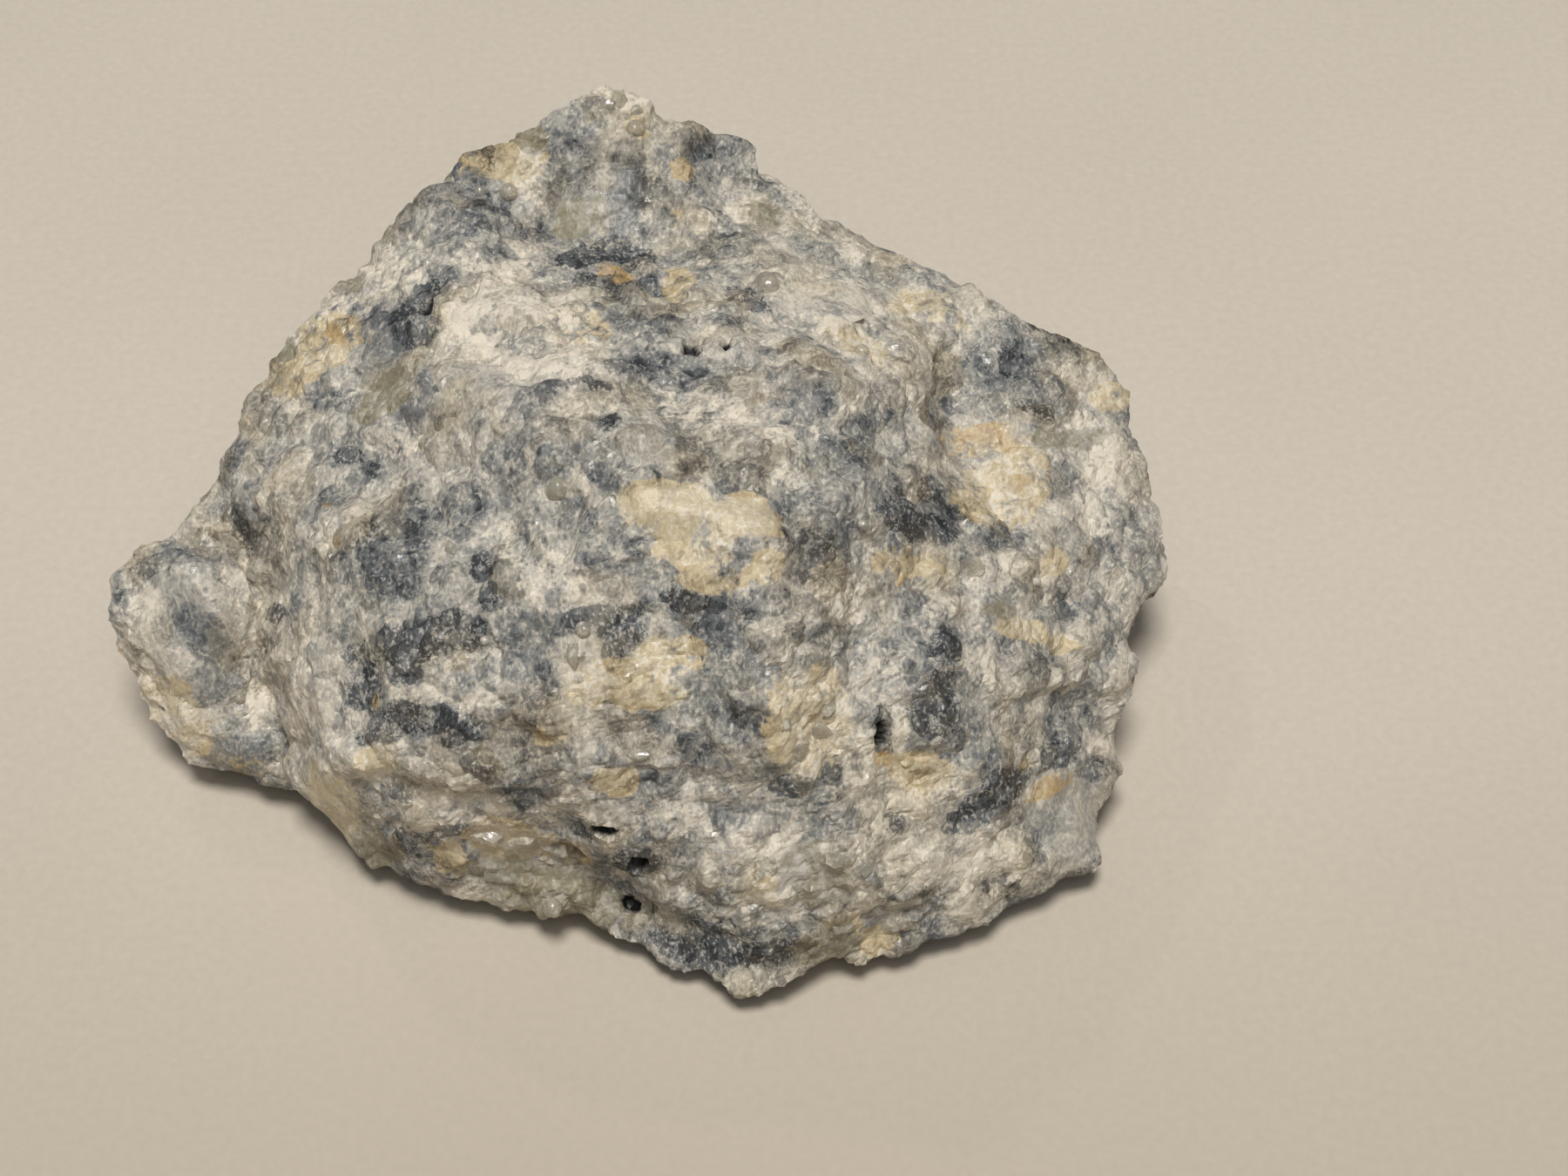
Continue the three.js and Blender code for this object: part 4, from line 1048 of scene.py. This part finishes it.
class CALCITE_OT_features(bpy.types.Operator):
    """Sets the large grains, the beads and the clear crystals"""

    bl_idname = "calcite.features"
    bl_label = "Large grains, beads and crystals"

    def execute(self, context):
        rng = np.random.default_rng(context.scene.grain_shape.seed + 1)
        seed = context.scene.stone_shape.seed
        stone = bpy.data.objects["stone"]
        skin = Skin(stone.data)
        large = Heap()
        owners = []
        for across, up, wide, high, turn, thick, kind in GRAINS:
            axes, point = self.lie(skin, across, up, turn)
            sizes = np.array([wide, high, thick]) * MM
            shape = cobble(rng, flats=9)
            large.set(shape, point - axes[2] * LARGE_SUNK, axes, sizes, rng.uniform(0.4, 0.6))
            owners += [kind] * len(shape[0])
        owners = np.array(owners)
        kinds = {kind: (owners == kind) * 0.8 for kind in ("slate", "white", "cream", "tan", "olive")}
        kinds["smooth"] = np.full(len(owners), 0.55)
        large.build("large_grains", stone.data.materials[0], seed, kinds)
        clear = Heap()
        for across, up, radius in BEADS:
            axes, point = self.lie(skin, across, up)
            clear.set(pebble(rng), point, axes, np.full(3, radius * MM), 0.5)
        for across, up, wide, high, turn in CRYSTALS:
            axes, point = self.lie(skin, across, up, turn)
            sizes = np.array([wide, high, 0.8 * min(wide, high)]) * MM
            shape = knocked_block(rng, cuts=14, closeness=0.6)
            clear.set(shape, point - axes[2] * CRYSTAL_SUNK, axes, sizes, 0.5)
        clear.build("clear_crystals", clear_material(context.scene.stone_colours), seed)
        return {"FINISHED"}

    def lie(self, skin, across, up, turn=0):
        """Axes and point of a grain that lies on the skin, turned as it shows from the viewpoint."""
        steps = ((0, 0), (0.4, 0), (-0.4, 0), (0, 0.4), (0, -0.4))
        points, normals = zip(*(skin.under(across + right, up + rise) for right, rise in steps))
        angle = math.radians(turn)
        along = np.array(SIDEWAYS) * math.cos(angle) + np.array(UPWARDS) * math.sin(angle)
        return facing(np.array(normals).sum(axis=0), along), np.array(points[0])


# -----------------------------------------------------------------------------
# Stage


SHEET_REACH = 1.5  # half the width of the sheet
# Painted shade: the sheet is painted darker towards its front edge.
PAPER_FRONT_SHADE = (0.42, 0.36, 0.27)  # what the sheet fades to towards its front edge
SHADE_FADE = (-15 * MM, 55 * MM)  # where that starts and ends, in front of the stone's middle
SENSOR_WIDTH = 36  # in millimetres
SKY_TINT = (0.86, 0.95, 1.08, 1.0)
LIT_SPOT = Vector((0, 0, 0.01))  # what the lights point at

# For each light's setting: its name, where it stands, in metres, its width and its tint.
LIGHTS = {
    "key": ("Top light", (0.0, -0.22, 1.13), 0.36, (1.0, 0.97, 0.92)),
    "front": ("Front light", (0.05, -0.3, 0.5), 0.4, (1.0, 0.97, 0.92)),
    "spark": ("Spark", (-0.2, 0.3, 0.4), 0.03, (1.0, 0.98, 0.95)),
}


def paper_material(tint):
    material, g = new_material("Paper")
    place = g.add("ShaderNodeTexCoord", output="Object")
    grain = g.noise(place, 0.6 * MM, 3.0, 0.6)
    cloud = g.noise(place, 30 * MM, 2.0, 0.5)
    dark, light = (tuple(k * c for c in tint) for k in (0.84, 1.15))
    shade = g.blend(grain * 0.7 + cloud * 0.3, dark, light)
    # Painted shade: the sheet darkens towards its front edge.
    front = g.step(0 - g.part(place, 1), *SHADE_FADE)
    shade = g.blend(front * 0.52, shade, PAPER_FRONT_SHADE)
    bump = g.add("ShaderNodeBump", Strength=0.25, Distance=0.1 * MM, Height=grain)
    surface = g.add("ShaderNodeBsdfPrincipled", Base_Color=shade, Roughness=0.9, Normal=bump)
    g.add("ShaderNodeOutputMaterial", Surface=surface)
    return material


def area_light(name, place, width, power, tint):
    data = bpy.data.lights.new(name, "AREA")
    data.shape = "DISK"
    data.size = width
    data.energy = power
    data.color = tint
    light = bpy.data.objects.new(name, data)
    light.location = place
    light.rotation_mode = "QUATERNION"
    light.rotation_quaternion = (LIT_SPOT - Vector(place)).to_track_quat("-Z", "Y")
    bpy.context.collection.objects.link(light)


class CALCITE_OT_stage(bpy.types.Operator):
    """Lays the paper, sets the lights and places the camera"""

    bl_idname = "calcite.stage"
    bl_label = "Stage"

    def execute(self, context):
        look = context.scene.stage_look
        sheet = bmesh.new()
        bmesh.ops.create_grid(sheet, x_segments=1, y_segments=1, size=SHEET_REACH)
        mesh = bpy.data.meshes.new("paper")
        sheet.to_mesh(mesh)
        sheet.free()
        mesh.materials.append(paper_material(look.paper))
        paper = bpy.data.objects.new("paper", mesh)
        context.collection.objects.link(paper)
        for setting, (name, place, width, tint) in LIGHTS.items():
            area_light(name, place, width, getattr(look, setting), tint)
        world = bpy.data.worlds.new("Studio")
        world.use_nodes = True
        backdrop = world.node_tree.nodes["Background"]
        backdrop.inputs["Color"].default_value = SKY_TINT
        backdrop.inputs["Strength"].default_value = look.sky
        context.scene.world = world
        context.scene.view_settings.view_transform = "Standard"
        camera = bpy.data.objects.new("Camera", bpy.data.cameras.new("Camera"))
        context.collection.objects.link(camera)
        camera.data.sensor_width = SENSOR_WIDTH
        camera.data.lens = SENSOR_WIDTH * VIEW_DISTANCE / VIEW_WIDTH
        camera.data.clip_start = 0.01
        camera.location = EYE
        camera.rotation_mode = "QUATERNION"
        camera.rotation_quaternion = (-TOWARDS_EYE).to_track_quat("-Z", "Y")
        context.scene.camera = camera
        return {"FINISHED"}


class CALCITE_PT_panel(bpy.types.Panel):
    """Lists the operators that build the specimen, with their settings"""

    bl_label = "Calcite specimen"
    bl_space_type = "VIEW_3D"
    bl_region_type = "UI"
    bl_category = "Calcite"

    def draw(self, context):
        for operator in OPERATORS:
            self.layout.operator(operator.bl_idname)
        for name in SETTINGS:
            settings = getattr(context.scene, name)
            box = self.layout.box()
            for key in settings.__annotations__:
                box.prop(settings, key)


OPERATORS = (CALCITE_OT_stone, CALCITE_OT_grains, CALCITE_OT_features, CALCITE_OT_stage)
SETTINGS = {
    "stone_shape": StoneShape,
    "grain_shape": GrainShape,
    "stone_colours": StoneColours,
    "stage_look": StageLook,
}


def register():
    for name, settings in SETTINGS.items():
        bpy.utils.register_class(settings)
        setattr(bpy.types.Scene, name, PointerProperty(type=settings))
    for item in (*OPERATORS, CALCITE_PT_panel):
        bpy.utils.register_class(item)


def unregister():
    for item in reversed((*OPERATORS, CALCITE_PT_panel)):
        bpy.utils.unregister_class(item)
    for name, settings in SETTINGS.items():
        delattr(bpy.types.Scene, name)
        bpy.utils.unregister_class(settings)


def main():
    register()
    bpy.ops.calcite.stone()
    bpy.ops.calcite.grains()
    bpy.ops.calcite.features()
    bpy.ops.calcite.stage()


if __name__ == "__main__":
    main()
